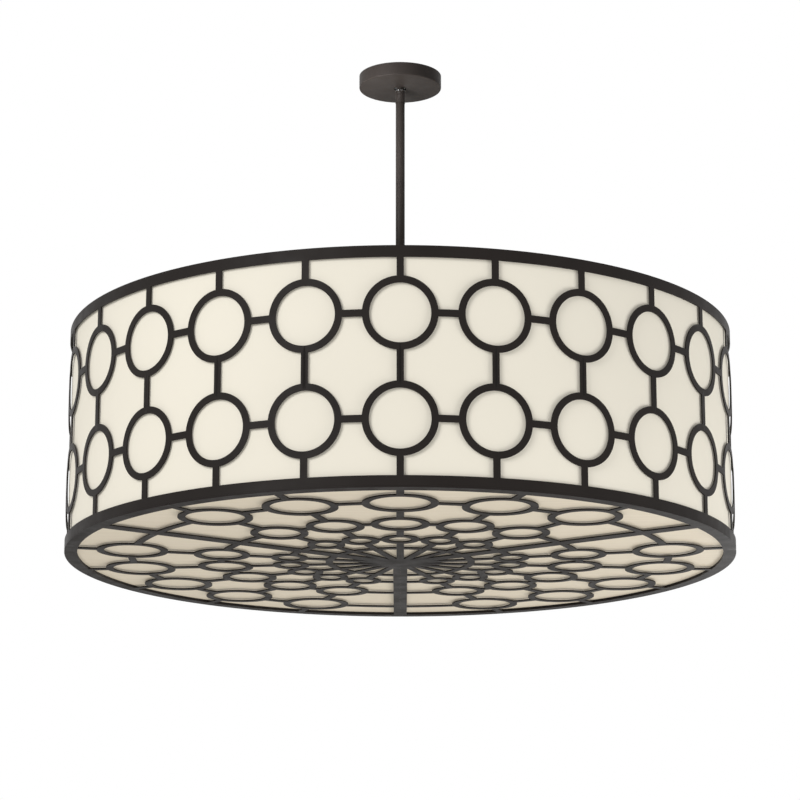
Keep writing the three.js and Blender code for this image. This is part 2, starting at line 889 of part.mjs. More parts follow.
piece('swivel_liner', swivelLiner(), nylon, suspension);
piece('swivel_ball', swivelBall(), bronze, suspension);
piece('stem_coupling', stemCoupling(), bronze, suspension);
piece('stem', stem(), bronze, suspension);

piece('spider_hub', spiderHub(), bronze, drum);
piece('hub_nut', hubNut(), zinc, drum);
around('spider_arm', spiderArms, spiderArm(), bronze, drum, Math.PI / spiderArms);
piece('top_ring', topRing(), bronze, drum);
piece('bottom_ring', bottomRing(), bronze, drum);
piece('side_grille', sideGrille(), bronze, drum);

const quarter = Math.PI / 2;
piece('side_diffuser_front', sideDiffuser(-quarter, quarter), sideAcrylic, drum);
piece('side_diffuser_back', sideDiffuser(quarter, 3 * quarter), sideAcrylic, drum);
piece('joint_strip_right', jointStrip(quarter), sideAcrylic, drum);
piece('joint_strip_left', jointStrip(-quarter), sideAcrylic, drum);
around('diffuser_clip', spiderArms, diffuserClip(), zinc, drum);

const sectionNames = ['front', 'right', 'left'];
const grilleSection = bottomGrille();
const diffuserSection = bottomDiffuser();
sectionNames.forEach((name, i) => {
  const turn = (i * 2 * Math.PI) / bottomSections;
  piece(`bottom_grille_${name}`, grilleSection, bronze, drum, turn);
  piece(`bottom_diffuser_${name}`, diffuserSection, bottomAcrylic, drum, turn);
});
piece('hub_plate', hubPlate(), zinc, drum);

piece('cluster_body', clusterBody(), zinc, drum);
piece('cluster_cap', clusterCap(), zinc, drum);
piece('cluster_finial', clusterFinial(), brass, drum);
around('lamp_arm', lamps, lampArm(), zinc, drum);

const socketFoot = lampArmTop + seatGap;
const bulbFoot = socketFoot + socketBoreFloor + seatGap;
around('socket', lamps, socket().translate(0, -lampRadius, socketFoot), ceramic, drum);
around('bulb', lamps, bulb().translate(0, -lampRadius, bulbFoot), frostedGlass, drum);

export default chandelier;
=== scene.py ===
"""Looks of a drum chandelier: its fine surfaces, finishes, studio light and camera.

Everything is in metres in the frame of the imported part. The ceiling is the plane z = 0, the lamp
hangs towards -Z, and angles about the stem start at the front (-Y) and grow towards +X.
"""

import json
import logging
import math
from collections.abc import Callable
from dataclasses import dataclass, field
from enum import Enum

import bpy
import numpy as np
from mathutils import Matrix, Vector
from mathutils.geometry import delaunay_2d_cdt


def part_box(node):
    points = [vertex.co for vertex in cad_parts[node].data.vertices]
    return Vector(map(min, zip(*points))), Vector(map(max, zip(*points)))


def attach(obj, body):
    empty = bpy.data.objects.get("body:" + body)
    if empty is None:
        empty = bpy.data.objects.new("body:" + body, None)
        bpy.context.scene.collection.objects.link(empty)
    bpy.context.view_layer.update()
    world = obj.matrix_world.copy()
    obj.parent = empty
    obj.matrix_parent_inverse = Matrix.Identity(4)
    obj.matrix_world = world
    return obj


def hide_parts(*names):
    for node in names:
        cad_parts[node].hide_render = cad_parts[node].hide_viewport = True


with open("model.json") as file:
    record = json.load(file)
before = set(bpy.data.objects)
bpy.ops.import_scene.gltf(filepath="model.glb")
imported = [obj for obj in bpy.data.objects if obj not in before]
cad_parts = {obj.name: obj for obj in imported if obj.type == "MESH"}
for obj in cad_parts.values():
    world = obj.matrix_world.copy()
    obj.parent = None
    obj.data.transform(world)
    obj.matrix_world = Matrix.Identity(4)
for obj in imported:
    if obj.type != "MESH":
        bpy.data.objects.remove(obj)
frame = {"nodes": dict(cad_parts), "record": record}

LOG = logging.getLogger("drum_chandelier")

Pair = tuple[float, float]
Triple = tuple[float, float, float]
Colour = tuple[float, float, float, float]
Display = tuple[int, int, int]
Socket = bpy.types.NodeSocket
Values = np.ndarray | float
MetalRule = Callable[[np.ndarray, np.ndarray], np.ndarray]

# A full turn in radians, and the play in metres between neighbouring pieces.
TURN = 2.0 * math.pi
GAP = 0.0003
# Levels of a noise texture that are spread over the whole of a range.
NOISE_LEVELS = (0.3, 0.7)
# Angle in degrees above which an edge is drawn sharp.
CREASE = 35.0
# Distance in metres within which two points count as one.
TOUCHING = 1e-6


class Slot(Enum):
    """Material slots of the record."""

    BRONZE = "bronze_metal"
    ZINC = "zinc_steel"
    BRASS = "brass"
    SIDE_DIFFUSER = "side_diffuser"
    BOTTOM_DIFFUSER = "bottom_diffuser"
    NYLON = "nylon"
    CERAMIC = "ceramic"
    GLASS = "frosted_glass"


class Body(Enum):
    """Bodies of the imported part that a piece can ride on."""

    CEILING_END = "ceiling_end"
    SWIVEL = "swivel"
    FIXTURE = "fixture"


class Side(Enum):
    """The three sections of the bottom, with the turn of each about the stem."""

    FRONT = 0.0
    RIGHT = TURN / 3.0
    LEFT = 2.0 * TURN / 3.0

    @property
    def word(self) -> str:
        """The word that names the section in the part's nodes."""
        return self.name.lower()


# Finishes


def linear(red: int, green: int, blue: int) -> Colour:
    """Turns a display colour into scene-linear red, green, blue and alpha.

    Args:
        red: Red from 0 to 255.
        green: Green from 0 to 255.
        blue: Blue from 0 to 255.

    Returns:
        The linear colour, each channel c as ((c + 0.055) / 1.055) to the power 2.4.
    """
    channels = [((c / 255.0 + 0.055) / 1.055) ** 2.4 for c in (red, green, blue)]
    return channels[0], channels[1], channels[2], 1.0


def shaded(colour: Colour, factor: float) -> Colour:
    """Returns a colour with its three channels multiplied by a factor."""
    return colour[0] * factor, colour[1] * factor, colour[2] * factor, colour[3]


class ShaderBench:
    """Builds the node tree of one material around its principled shader."""

    def __init__(self, name: str) -> None:
        """Makes an empty material.

        Args:
            name: The material's name.
        """
        self.material = bpy.data.materials.new(name)
        self.material.use_nodes = True
        self.tree = self.material.node_tree
        self.shader = self.tree.nodes["Principled BSDF"]
        self.place = self.tree.nodes.new("ShaderNodeTexCoord").outputs["Object"]

    def fixed(self, **values: float | Colour) -> None:
        """Sets constants on the shader's own sockets, with underscores for spaces in their names."""
        for name, value in values.items():
            self.shader.inputs[name.replace("_", " ")].default_value = value

    def wired(self, kind: str, result: str, values: dict[str, object], **links: Socket) -> Socket:
        """Adds a node to the tree.

        Args:
            kind: The node's type.
            result: The name of the output to hand on.
            values: Constants for its inputs, by name.
            **links: Sockets that feed its other inputs, by name.

        Returns:
            The output socket.
        """
        node = self.tree.nodes.new(kind)
        for name, value in values.items():
            node.inputs[name].default_value = value
        for name, socket in links.items():
            self.tree.links.new(socket, node.inputs[name])
        return node.outputs[result]

    def stretched(self, scale: Triple) -> Socket:
        """Returns the object coordinates scaled along each axis."""
        return self.wired("ShaderNodeMapping", "Vector", {"Scale": scale}, Vector=self.place)

    def noise(self, scale: float, detail: float, place: Socket | None = None) -> Socket:
        """Returns a noise of so many cells a metre and finer layers, on a place or the object's own."""
        return self.wired("ShaderNodeTexNoise", "Fac", {"Scale": scale, "Detail": detail},
                          Vector=place or self.place)

    def ranged(self, value: Socket, low: float, high: float) -> Socket:
        """Spreads the middle levels of a noise over a range.

        Args:
            value: The noise.
            low: What its lower level becomes.
            high: What its upper level becomes.

        Returns:
            The value socket.
        """
        start, end = NOISE_LEVELS
        levels = {"From Min": start, "From Max": end, "To Min": low, "To Max": high}
        return self.wired("ShaderNodeMapRange", "Result", levels, Value=value)

    def mixed(self, value: Socket, one: Colour, other: Colour) -> Socket:
        """Blends two colours.

        Args:
            value: The share of the second colour, from 0 to 1.
            one: The first colour.
            other: The second colour.

        Returns:
            The colour socket.
        """
        mixer = self.tree.nodes.new("ShaderNodeMix")
        mixer.data_type = "RGBA"
        factor, first, second = (socket for socket in mixer.inputs if socket.enabled)
        first.default_value, second.default_value = one, other
        self.tree.links.new(value, factor)
        return next(socket for socket in mixer.outputs if socket.enabled)

    def finished(self, **links: Socket) -> None:
        """Wires sockets to the shader's inputs, with underscores for spaces in their names."""
        for name, socket in links.items():
            self.tree.links.new(socket, self.shader.inputs[name.replace("_", " ")])

    def bumped(self, height: Socket, distance: float, strength: float) -> None:
        """Wires a height from 0 to 1, which stands for a distance, to the shader through a bump."""
        self.finished(Normal=self.wired("ShaderNodeBump", "Normal",
                                        {"Distance": distance, "Strength": strength}, Height=height))


@dataclass(frozen=True)
class GrainedFinish:
    """A paint, plating or plastic with a clouded colour, a patchy gloss and a fine grain."""

    slot: Slot
    colour: Display
    metallic: float = 0.0
    specular: float = 0.5
    roughness: Pair = (0.4, 0.5)
    cloud_scale: float = 9.0
    cloud_depth: float = 0.06
    cloud_detail: float = 4.0
    gloss_share: float = 3.0
    gloss_detail: float = 3.0
    grain_scale: float = 1400.0
    grain_height: float = 0.00004
    grain_detail: float = 2.0
    grain_strength: float = 0.6
    stretch: Triple = (1.0, 1.0, 1.0)
    coat: float = 0.0
    transmission: float = 0.0
    # Painted light: an emission in the finish's own colour that stands in for daylight shining through a
    # sheet, and fades the shade of the bars on it.
    painted_glow: float = 0.0

    def material(self) -> bpy.types.Material:
        """Builds the material: clouds of noise tint it, and a finer noise sets gloss and bump.

        Returns:
            The finished material.
        """
        bench = ShaderBench(self.slot.value)
        middle = linear(*self.colour)
        # The emission set here is painted light, not a lamp.
        bench.fixed(Metallic=self.metallic, Specular_IOR_Level=self.specular, Coat_Weight=self.coat,
                    Transmission_Weight=self.transmission, Emission_Strength=self.painted_glow,
                    Emission_Color=middle)
        clouds = bench.ranged(bench.noise(self.cloud_scale, self.cloud_detail), 0.0, 1.0)
        dark, pale = (shaded(middle, 1.0 + sign * self.cloud_depth) for sign in (-1.0, 1.0))
        tint = bench.mixed(clouds, dark, pale)
        gloss = bench.noise(self.gloss_share * self.cloud_scale, self.gloss_detail)
        bench.finished(Base_Color=tint, Roughness=bench.ranged(gloss, *self.roughness))
        grain = bench.noise(self.grain_scale, self.grain_detail, bench.stretched(self.stretch))
        bench.bumped(grain, self.grain_height, self.grain_strength)
        return bench.material


@dataclass(frozen=True)
class BrushedSheetFinish:
    """A plastic sheet with fine streaks along X, over broader and fainter bands.

    Its emission is painted light: it stands in for the daylight that comes through the sheet from the open
    drum, and fades the shade of the bars on it.
    """

    slot: Slot
    colour: Display
    streak_colour: Display
    # Strength of the painted light: an emission in the sheet's own colour.
    painted_glow: float
    specular: float = 0.2
    roughness: Pair = (0.45, 0.6)
    streak_scale: float = 260.0
    streak_stretch: Triple = (0.02, 1.0, 1.0)
    streak_detail: float = 3.0
    streak_height: float = 0.00005
    streak_strength: float = 0.5
    band_share: float = 0.3
    band_detail: float = 2.0

    def material(self) -> bpy.types.Material:
        """Builds the material: a noise drawn out along X mixes two close colours.

        Returns:
            The finished material.
        """
        bench = ShaderBench(self.slot.value)
        base = linear(*self.colour)
        # Painted light: the emission stands in for daylight coming through the sheet.
        bench.fixed(Specular_IOR_Level=self.specular, Emission_Strength=self.painted_glow, Emission_Color=base)
        along = bench.stretched(self.streak_stretch)
        streaks = bench.noise(self.streak_scale, self.streak_detail, along)
        tint = bench.mixed(bench.ranged(streaks, 0.0, 1.0), linear(*self.streak_colour), base)
        bands = bench.noise(self.band_share * self.streak_scale, self.band_detail, along)
        bench.finished(Base_Color=tint, Roughness=bench.ranged(bands, *self.roughness))
        bench.bumped(streaks, self.streak_height, self.streak_strength)
        return bench.material


FINISHES = (
    GrainedFinish(Slot.BRONZE, (42, 38, 36), specular=0.06, roughness=(0.4, 0.52),
                  cloud_depth=0.1, grain_height=0.00005),
    GrainedFinish(Slot.ZINC, (168, 170, 172), metallic=0.9, roughness=(0.3, 0.45), cloud_scale=30.0,
                  cloud_depth=0.1, stretch=(1.0, 0.1, 1.0)),
    GrainedFinish(Slot.BRASS, (186, 150, 86), metallic=0.95, roughness=(0.22, 0.36), cloud_scale=25.0,
                  cloud_depth=0.08),
    # The side diffuser's emission is painted light: it stands in for daylight shining through the sheet and
    # lightens the shade around the bars.
    GrainedFinish(Slot.SIDE_DIFFUSER, (238, 232, 217), specular=0.12, roughness=(0.5, 0.62),
                  cloud_scale=2.5, cloud_depth=0.015, grain_scale=500.0, grain_height=0.00002, painted_glow=0.12),
    GrainedFinish(Slot.NYLON, (233, 230, 220), roughness=(0.45, 0.6), cloud_scale=40.0, cloud_depth=0.02),
    GrainedFinish(Slot.CERAMIC, (241, 238, 230), roughness=(0.2, 0.32), cloud_scale=20.0,
                  cloud_depth=0.015, coat=0.5),
    GrainedFinish(Slot.GLASS, (250, 248, 243), roughness=(0.32, 0.42), cloud_scale=20.0,
                  cloud_depth=0.01, transmission=0.35),
    # The bottom diffuser's emission is painted light that lifts the shade near the bars.
    BrushedSheetFinish(Slot.BOTTOM_DIFFUSER, (221, 210, 190), (212, 200, 179), painted_glow=0.21),
)


class FinishShelf:
    """Holds one material for each slot and dresses pieces with them."""

    def __init__(self) -> None:
        """Builds every material once."""
        self.materials = {finish.slot: finish.material() for finish in FINISHES}

    def dress(self, piece: bpy.types.Object, slot: Slot) -> None:
        """Gives a piece the material of a slot.

        Args:
            piece: The mesh object.
            slot: The slot whose material it takes.
        """
        piece.data.materials.clear()
        piece.data.materials.append(self.materials[slot])

    def dress_frame(self) -> None:
        """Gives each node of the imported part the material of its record's slot."""
        for entry in frame["record"]["subparts"]:
            node = frame["nodes"][entry["node"]]
            self.dress(node, Slot(entry["material_slot"]))
            LOG.info("dressed %s as %s", entry["node"], entry["material_slot"])


# Surfaces


def polar(radius: Values, angle: Values) -> tuple[Values, Values]:
    """Returns x = r sin(a) and y = -r cos(a), so that angle 0 is the front."""
    return radius * np.sin(angle), -radius * np.cos(angle)


def halved(quads: np.ndarray) -> np.ndarray:
    """Returns two triangles for each quad, cut from its first corner to its third."""
    return np.concatenate([quads[:, [0, 1, 2]], quads[:, [0, 2, 3]]])


@dataclass
class Shell:
    """A closed surface, as corner points and arrays of triangles or quads on them."""

    points: np.ndarray
    faces: list[np.ndarray] = field(default_factory=list)

    def turned(self, angle: float) -> "Shell":
        """Turns the shell about the stem: its points are multiplied by a turning matrix.

        Args:
            angle: The turn in radians.

        Returns:
            The turned copy.
        """
        cosine, sine = math.cos(angle), math.sin(angle)
        matrix = np.array([[cosine, -sine, 0.0], [sine, cosine, 0.0], [0.0, 0.0, 1.0]])
        return Shell(self.points @ matrix.T, self.faces)

    def moved(self, x: float, y: float, z: float) -> "Shell":
        """Returns a copy shifted by x, y and z."""
        return Shell(self.points + np.array([x, y, z]), self.faces)

    def joined(self, *others: "Shell") -> "Shell":
        """Puts this shell and others into one, each still closed by itself.

        Args:
            *others: The other shells.

        Returns:
            The one shell.
        """
        points, faces, count = [], [], 0
        for shell in (self, *others):
            points.append(shell.points)
            faces.extend(group + count for group in shell.outward().faces)
            count += len(shell.points)
        return Shell(np.concatenate(points), faces)

    def triangles(self) -> np.ndarray:
        """Returns every face as triangles, a quad as two."""
        return np.concatenate([group if group.shape[1] == 3 else halved(group) for group in self.faces])

    def outward(self) -> "Shell":
        """Points the shell's faces out.

        The enclosed volume is a sixth of the sum of a . (b x c) over the triangles, and where it is
        negative every face is turned round.

        Returns:
            The shell, or a copy with its faces turned round.
        """
        corners = self.points[self.triangles()]
        volume = np.einsum("ij,ij->i", corners[:, 0], np.cross(corners[:, 1], corners[:, 2])).sum()
        if volume >= 0.0:
            return self
        return Shell(self.points, [group[:, ::-1] for group in self.faces])


def grid_faces(rows: int, columns: int, wrap_rows: bool, wrap_columns: bool) -> np.ndarray:
    """Joins a grid of points, numbered row by row, with quads.

    Args:
        rows: Number of rows of points.
        columns: Number of points in a row.
        wrap_rows: Whether the last row joins the first.
        wrap_columns: Whether the last column joins the first.

    Returns:
        The quads, as four point numbers each.
    """
    row = np.arange(rows if wrap_rows else rows - 1)[:, None]
    column = np.arange(columns if wrap_columns else columns - 1)[None, :]
    after_row, after_column = (row + 1) % rows, (column + 1) % columns
    corners = [row * columns + column, row * columns + after_column,
               after_row * columns + after_column, after_row * columns + column]
    return np.stack([np.broadcast_to(c, (row.size, column.size)).ravel() for c in corners], axis=1)


def lofted(rings: np.ndarray) -> Shell:
    """Joins rings of points one after another, and closes both ends with a fan to the ring's middle.

    Args:
        rings: Array of rings, points and coordinates.

    Returns:
        The closed shell.
    """
    count, sides = rings.shape[:2]
    points = np.concatenate([rings.reshape(-1, 3), rings[[0, -1]].mean(axis=1)])
    here, first = np.arange(sides), count * sides
    after, last = (here + 1) % sides, first - sides
    caps = [np.stack([after, here, np.full(sides, first)], axis=1),
            np.stack([last + here, last + after, np.full(sides, first + 1)], axis=1)]
    return Shell(points, [grid_faces(count, sides, False, True), *caps]).outward()


def revolved(profile: np.ndarray, steps: int = 96, capped: bool = False) -> Shell:
    """Turns a profile of radius and height about Z.

    A point of the profile is carried to (r sin a, -r cos a, z) for even angles a.

    Args:
        profile: Array of radius and height rows. A row may hold one value for each angle instead.
        steps: Number of steps round.
        capped: Whether flat ends close the solid. Otherwise the profile closes on itself.

    Returns:
        The closed shell.
    """
    angles = np.arange(steps) * (TURN / steps)
    shape = (len(profile), steps)
    radius, height = (np.broadcast_to(profile[:, i].reshape(len(profile), -1), shape) for i in (0, 1))
    x, y = polar(radius, angles[None, :])
    rings = np.stack([x, y, height], axis=2)
    if capped:
        return lofted(rings)
    return Shell(rings.reshape(-1, 3), [grid_faces(len(profile), steps, True, True)]).outward()


def rounded(corners: list[Triple], steps: int = 4) -> np.ndarray:
    """Rounds the corners of a closed outline.

    Each corner is given as radius, height and fillet. Its two neighbours' directions give the arc's
    ends, and a quadratic curve through them, (1-t)^2 a + 2t(1-t) c + t^2 b, stands for the arc.

    Args:
        corners: The outline's corners, with the fillet of each.
        steps: Points along each fillet, less one.

    Returns:
        The outline as an array of points.
    """
    places = np.array([corner[:2] for corner in corners])
    curve = np.linspace(0.0, 1.0, steps + 1)[:, None]
    pieces = []
    for index, corner in enumerate(corners):
        here = places[index]
        if corner[2] <= 0.0:
            pieces.append(here[None, :])
            continue
        back, ahead = places[index - 1] - here, places[(index + 1) % len(corners)] - here
        start = here + back * (corner[2] / np.linalg.norm(back))
        end = here + ahead * (corner[2] / np.linalg.norm(ahead))
        pieces.append((1 - curve) ** 2 * start + 2 * curve * (1 - curve) * here + curve ** 2 * end)
    return np.concatenate(pieces)


def wall(radius: float, low: float, high: float, step: float) -> np.ndarray:
    """Returns a straight wall of a profile as rows of radius and height, a step or less apart."""
    heights = np.linspace(low, high, max(1, math.ceil(abs(high - low) / step)) + 1)
    return np.stack([np.full(len(heights), radius), heights], axis=1)


def zone(radius: float, centre: float, low: float, high: float, steps: int = 16) -> np.ndarray:
    """Returns the arc of a sphere on the axis between two latitudes in degrees, as radius and height."""
    angle = np.radians(np.linspace(low, high, steps + 1))
    return np.stack([radius * np.cos(angle), centre + radius * np.sin(angle)], axis=1)


def threaded(shell: Shell, radius: float, low: float, high: float, pitch: float, depth: float) -> Shell:
    """Cuts a screw thread into a turned wall that has points close together.

    A point on the wall moves in by the depth times a triangle wave of z / pitch + angle / turn, which
    rises once a turn and makes one helix. The depth fades out over a pitch at each end.

    Args:
        shell: The turned solid.
        radius: Radius of the wall.
        low: Lower end of the thread.
        high: Upper end of the thread.
        pitch: Rise of the thread in one turn.
        depth: Depth of the thread.

    Returns:
        The shell with its thread.
    """
    x, y, z = shell.points.T
    wave = np.abs(2.0 * ((z / pitch + np.arctan2(y, x) / TURN) % 1.0) - 1.0)
    fade = np.clip(np.minimum(z - low, high - z) / pitch, 0.0, 1.0)
    on_wall = np.abs(np.hypot(x, y) - radius) < TOUCHING
    plan = 1.0 - np.where(on_wall, depth * wave * fade / radius, 0.0)
    return Shell(np.stack([x * plan, y * plan, z], axis=1), shell.faces)


def wall_shell(outer: float, inner: float, low: float, high: float, ends: Pair, steps: int) -> Shell:
    """Makes a curved wall of even thickness between two angles.

    Its section, a rectangle in radius and height, is carried along the arc and capped at both ends.

    Args:
        outer: Outer radius.
        inner: Inner radius.
        low: Lower height.
        high: Upper height.
        ends: First and last angle.
        steps: Number of steps along the arc.

    Returns:
        The closed shell.
    """
    section = np.array([[outer, low], [outer, high], [inner, high], [inner, low]])
    angles = np.linspace(*ends, steps + 1)
    x, y = polar(section[None, :, 0], angles[:, None])
    z = np.broadcast_to(section[None, :, 1], x.shape)
    points = np.stack([x, y, z], axis=2).reshape(-1, 3)
    caps = np.array([[3, 2, 1, 0], [0, 1, 2, 3]]) + np.array([[0], [4 * steps]])
    return Shell(points, [grid_faces(steps + 1, 4, False, True), caps]).outward()


def tube_along(path: np.ndarray, radius: float, sides: int = 24) -> Shell:
    """Carries a circle along a path that lies in the plane x = 0.

    The circle lies across the path, on the X axis and on the path's tangent turned by a quarter.

    Args:
        path: Array of points, with x = 0.
        radius: Radius of the tube.
        sides: Number of points round the circle.

    Returns:
        The closed shell, with a flat cap at each end.
    """
    tangent = np.gradient(path, axis=0)
    tangent /= np.linalg.norm(tangent, axis=1)[:, None]
    across = np.stack([np.zeros(len(path)), -tangent[:, 2], tangent[:, 1]], axis=1)
    angles = np.arange(sides) * (TURN / sides)
    circle = (np.cos(angles)[None, :, None] * np.array([1.0, 0.0, 0.0])
              + np.sin(angles)[None, :, None] * across[:, None, :])
    return lofted(path[:, None, :] + radius * circle)


def flat_bar(width: float, thickness: float, ends: Pair, top: float, edge: float) -> Shell:
    """Makes a flat bar along -Y with eased edges, under a height.

    Its section is a rectangle with its corners cut by the edge, and the same section inset by the edge
    closes each end.

    Args:
        width: Width along X.
        thickness: Thickness along Z.
        ends: Distances of its two ends from the stem.
        top: Height of its upper face.
        edge: Size of the eased edge.

    Returns:
        The closed shell.
    """
    def section(inset: float) -> np.ndarray:
        """Lists the eight corners of the section.

        Args:
            inset: How far they are moved in.

        Returns:
            The corners, as rows of x and z from the section's middle.
        """
        half, tall = width / 2.0 - inset, thickness / 2.0 - inset
        quarter = np.array([[half, tall - edge], [half - edge, tall]])
        signs = np.array([[1, 1], [-1, 1], [-1, -1], [1, -1]])
        turns = [quarter * sign if sign[0] * sign[1] > 0 else (quarter * sign)[::-1] for sign in signs]
        return np.concatenate(turns)

    (start, end), rings = ends, []
    for place, inset in ((start, edge), (start + edge, 0.0), (end - edge, 0.0), (end, edge)):
        x, z = section(inset).T
        rings.append(np.stack([x, np.full(8, -place), z + top - thickness / 2.0], axis=1))
    return lofted(np.array(rings))


def screw_head(radius: float, height: float, up: float = 1.0) -> Shell:
    """Makes a domed screw head with a crossed recess, on the plane z = 0.

    The dome's height is h sqrt(1 - s^2) at the share s of its radius, and the points within two
    crossing bands near its middle are sunk.

    Args:
        radius: Radius of the head.
        height: Height of the dome.
        up: 1 for a head that stands up, -1 for one that hangs down.

    Returns:
        The closed shell.
    """
    band, reach, depth = 0.14 * radius, 0.6 * radius, 0.45 * height
    share = np.linspace(1.0, 0.02, 16)
    profile = np.stack([radius * share, height * np.sqrt(1.0 - share ** 2)], axis=1)
    shell = revolved(profile, 48, capped=True)
    x, y, z = shell.points.T
    crossed = (np.minimum(np.abs(x), np.abs(y)) < band) & (np.hypot(x, y) < reach)
    z = np.where(crossed & (z > 0.0), z - depth, z)
    return Shell(np.stack([x, y, up * z], axis=1), shell.faces).outward()


def spread(shell: Shell, count: int, first: float) -> Shell:
    """Returns copies of a shell at even turns about the stem from a first turn, joined into one."""
    copies = [shell.turned(first + index * TURN / count) for index in range(count)]
    return copies[0].joined(*copies[1:])


# Pierced sheets


@dataclass
class FlatPattern:
    """A flat pattern: outlines that are cut across each other, and a rule for what is metal."""

    lines: list[np.ndarray] = field(default_factory=list)

    def line(self, start: Pair, end: Pair) -> None:
        """Adds a straight outline."""
        self.lines.append(np.array([start, end]))

    def arc(self, centre: Pair, radius: float, steps: int, ends: Pair = (0.0, TURN)) -> None:
        """Adds a circle or arc: centre + radius (sin a, -cos a) for even angles a between its ends."""
        x, y = polar(radius, np.linspace(*ends, steps + 1))
        self.lines.append(np.stack([centre[0] + x, centre[1] + y], axis=1))

    def bar(self, start: np.ndarray, end: np.ndarray, width: float) -> None:
        """Adds the two long edges of a straight bar.

        Args:
            start: The start of the bar's axis.
            end: The end of its axis.
            width: The bar's width.
        """
        run = (end - start) / np.linalg.norm(end - start)
        side = np.array([-run[1], run[0]]) * (width / 2.0)
        self.lines.extend(np.array([start + sign * side, end + sign * side]) for sign in (-1.0, 1.0))

    def triangles(self, is_metal: MetalRule) -> tuple[np.ndarray, np.ndarray]:
        """Cuts the plane along the outlines and keeps what is metal.

        Args:
            is_metal: Function of x and y arrays that returns True where there is metal.

        Returns:
            The points, and the triangles whose middle is metal, all turned the same way round.
        """
        points, edges, count = [], [], 0
        for line in self.lines:
            steps = len(line) - 1
            points.append(line)
            edges.append(np.stack([np.arange(steps), np.arange(1, steps + 1)], axis=1) + count)
            count += steps + 1
        flat = [Vector(point) for point in np.concatenate(points).tolist()]
        result = delaunay_2d_cdt(flat, np.concatenate(edges).tolist(), [], 0, TOUCHING)
        places = np.array([tuple(point) for point in result[0]])
        faces = np.array(result[2])
        first, second = (places[faces[:, i]] - places[faces[:, 0]] for i in (1, 2))
        area = first[:, 0] * second[:, 1] - first[:, 1] * second[:, 0]
        faces = np.where(area[:, None] < 0.0, faces[:, ::-1], faces)
        middle = places[faces].mean(axis=1)
        return places, faces[is_metal(middle[:, 0], middle[:, 1])]


def thickened(front: np.ndarray, back: np.ndarray, faces: np.ndarray) -> Shell:
    """Closes a sheet between two surfaces that have the same triangles.

    An edge that only one triangle uses is an outline, and gets a wall from front to back.

    Args:
        front: Points of the front surface.
        back: Points of the back surface, in the same order.
        faces: Triangles of the front.

    Returns:
        The closed shell.
    """
    used, compact = np.unique(faces, return_inverse=True)
    faces = compact.reshape(faces.shape)
    count = len(used)
    edges = np.concatenate([faces[:, [0, 1]], faces[:, [1, 2]], faces[:, [2, 0]]])
    keys = np.sort(edges, axis=1) @ np.array([count, 1])
    _, index, uses = np.unique(keys, return_index=True, return_counts=True)
    rim = edges[index[uses == 1]]
    walls = np.stack([rim[:, 1], rim[:, 0], rim[:, 0] + count, rim[:, 1] + count], axis=1)
    points = np.concatenate([front[used], back[used]])
    return Shell(points, [faces, faces[:, ::-1] + count, walls]).outward()


# Pieces


@dataclass(frozen=True)
class Workshop:
    """Turns shells into dressed pieces that ride on the part."""

    shelf: FinishShelf

    def piece(self, name: str, shell: Shell, slot: Slot, body: str = Body.FIXTURE.value,
              replaces: tuple[str, ...] = ()) -> None:
        """Makes one piece, with its place in its mesh.

        Args:
            name: The piece's name.
            shell: Its closed surface, in the frame of the part.
            slot: The record's slot that it takes its finish from.
            body: The body that it rides on.
            replaces: Nodes that it stands for.
        """
        mesh = bpy.data.meshes.new(name)
        groups = shell.outward().faces
        loops = np.concatenate([group.ravel() for group in groups])
        sizes = np.concatenate([np.full(len(group), group.shape[1]) for group in groups])
        starts = np.concatenate([[0], np.cumsum(sizes)[:-1]])
        mesh.vertices.add(len(shell.points))
        mesh.vertices.foreach_set("co", shell.points.astype(np.float32).ravel())
        mesh.loops.add(len(loops))
        mesh.loops.foreach_set("vertex_index", loops.astype(np.int32))
        mesh.polygons.add(len(sizes))
        mesh.polygons.foreach_set("loop_start", starts.astype(np.int32))
        mesh.update(calc_edges=True)
        mesh.shade_smooth()
        mesh.set_sharp_from_angle(angle=math.radians(CREASE))
        made = bpy.data.objects.new(name, mesh)
        bpy.context.scene.collection.objects.link(made)
        self.shelf.dress(made, slot)
        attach(made, body)
        if replaces:
            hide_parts(*replaces)
        LOG.info("made %s with %d faces on %s", name, len(sizes), body)

    def fine(self, node: str, shell: Shell, slot: Slot, body: str = Body.FIXTURE.value) -> None:
        """Makes the fine piece that stands for a node of the part."""
        self.piece(f"{node}_fine", shell, slot, body, (node,))


@dataclass(frozen=True)
class DrumSizes:
    """Sizes that the drum's sub-assemblies share, in metres."""

    radius: float
    top: float
    bottom: float
    sheet: float = 0.003
    bar: float = 0.015
    angle_thickness: float = 0.003
    angle_width: float = 0.025
    angle_depth: float = 0.021
    dish: float = 0.010

    @classmethod
    def from_frame(cls) -> "DrumSizes":
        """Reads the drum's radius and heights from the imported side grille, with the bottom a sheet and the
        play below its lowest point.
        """
        low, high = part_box("side_grille")
        return cls(radius=high.x, top=high.z, bottom=low.z - cls.sheet - GAP)

    @property
    def height(self) -> float:
        """Height of the drum from the underside of its rim."""
        return self.top - self.bottom

    @property
    def floor(self) -> float:
        """Height of the bottom grille's upper face at its rim, with the play above it."""
        return self.bottom + self.sheet + GAP

    @property
    def ring_outside(self) -> float:
        """Outer radius of the rolled angles."""
        return self.radius - self.sheet - GAP

    @property
    def ring_inside(self) -> float:
        """Inner radius of the rolled angles' flat legs."""
        return self.ring_outside - self.angle_width

    @property
    def diffuser_outside(self) -> float:
        """Outer radius of the side diffuser."""
        return self.ring_outside - self.angle_thickness - GAP

    def dish_at(self, radius: Values) -> Values:
        """How far the bottom hangs below its rim: dish times (1 - r / radius)."""
        return self.dish * (1.0 - radius / self.radius)


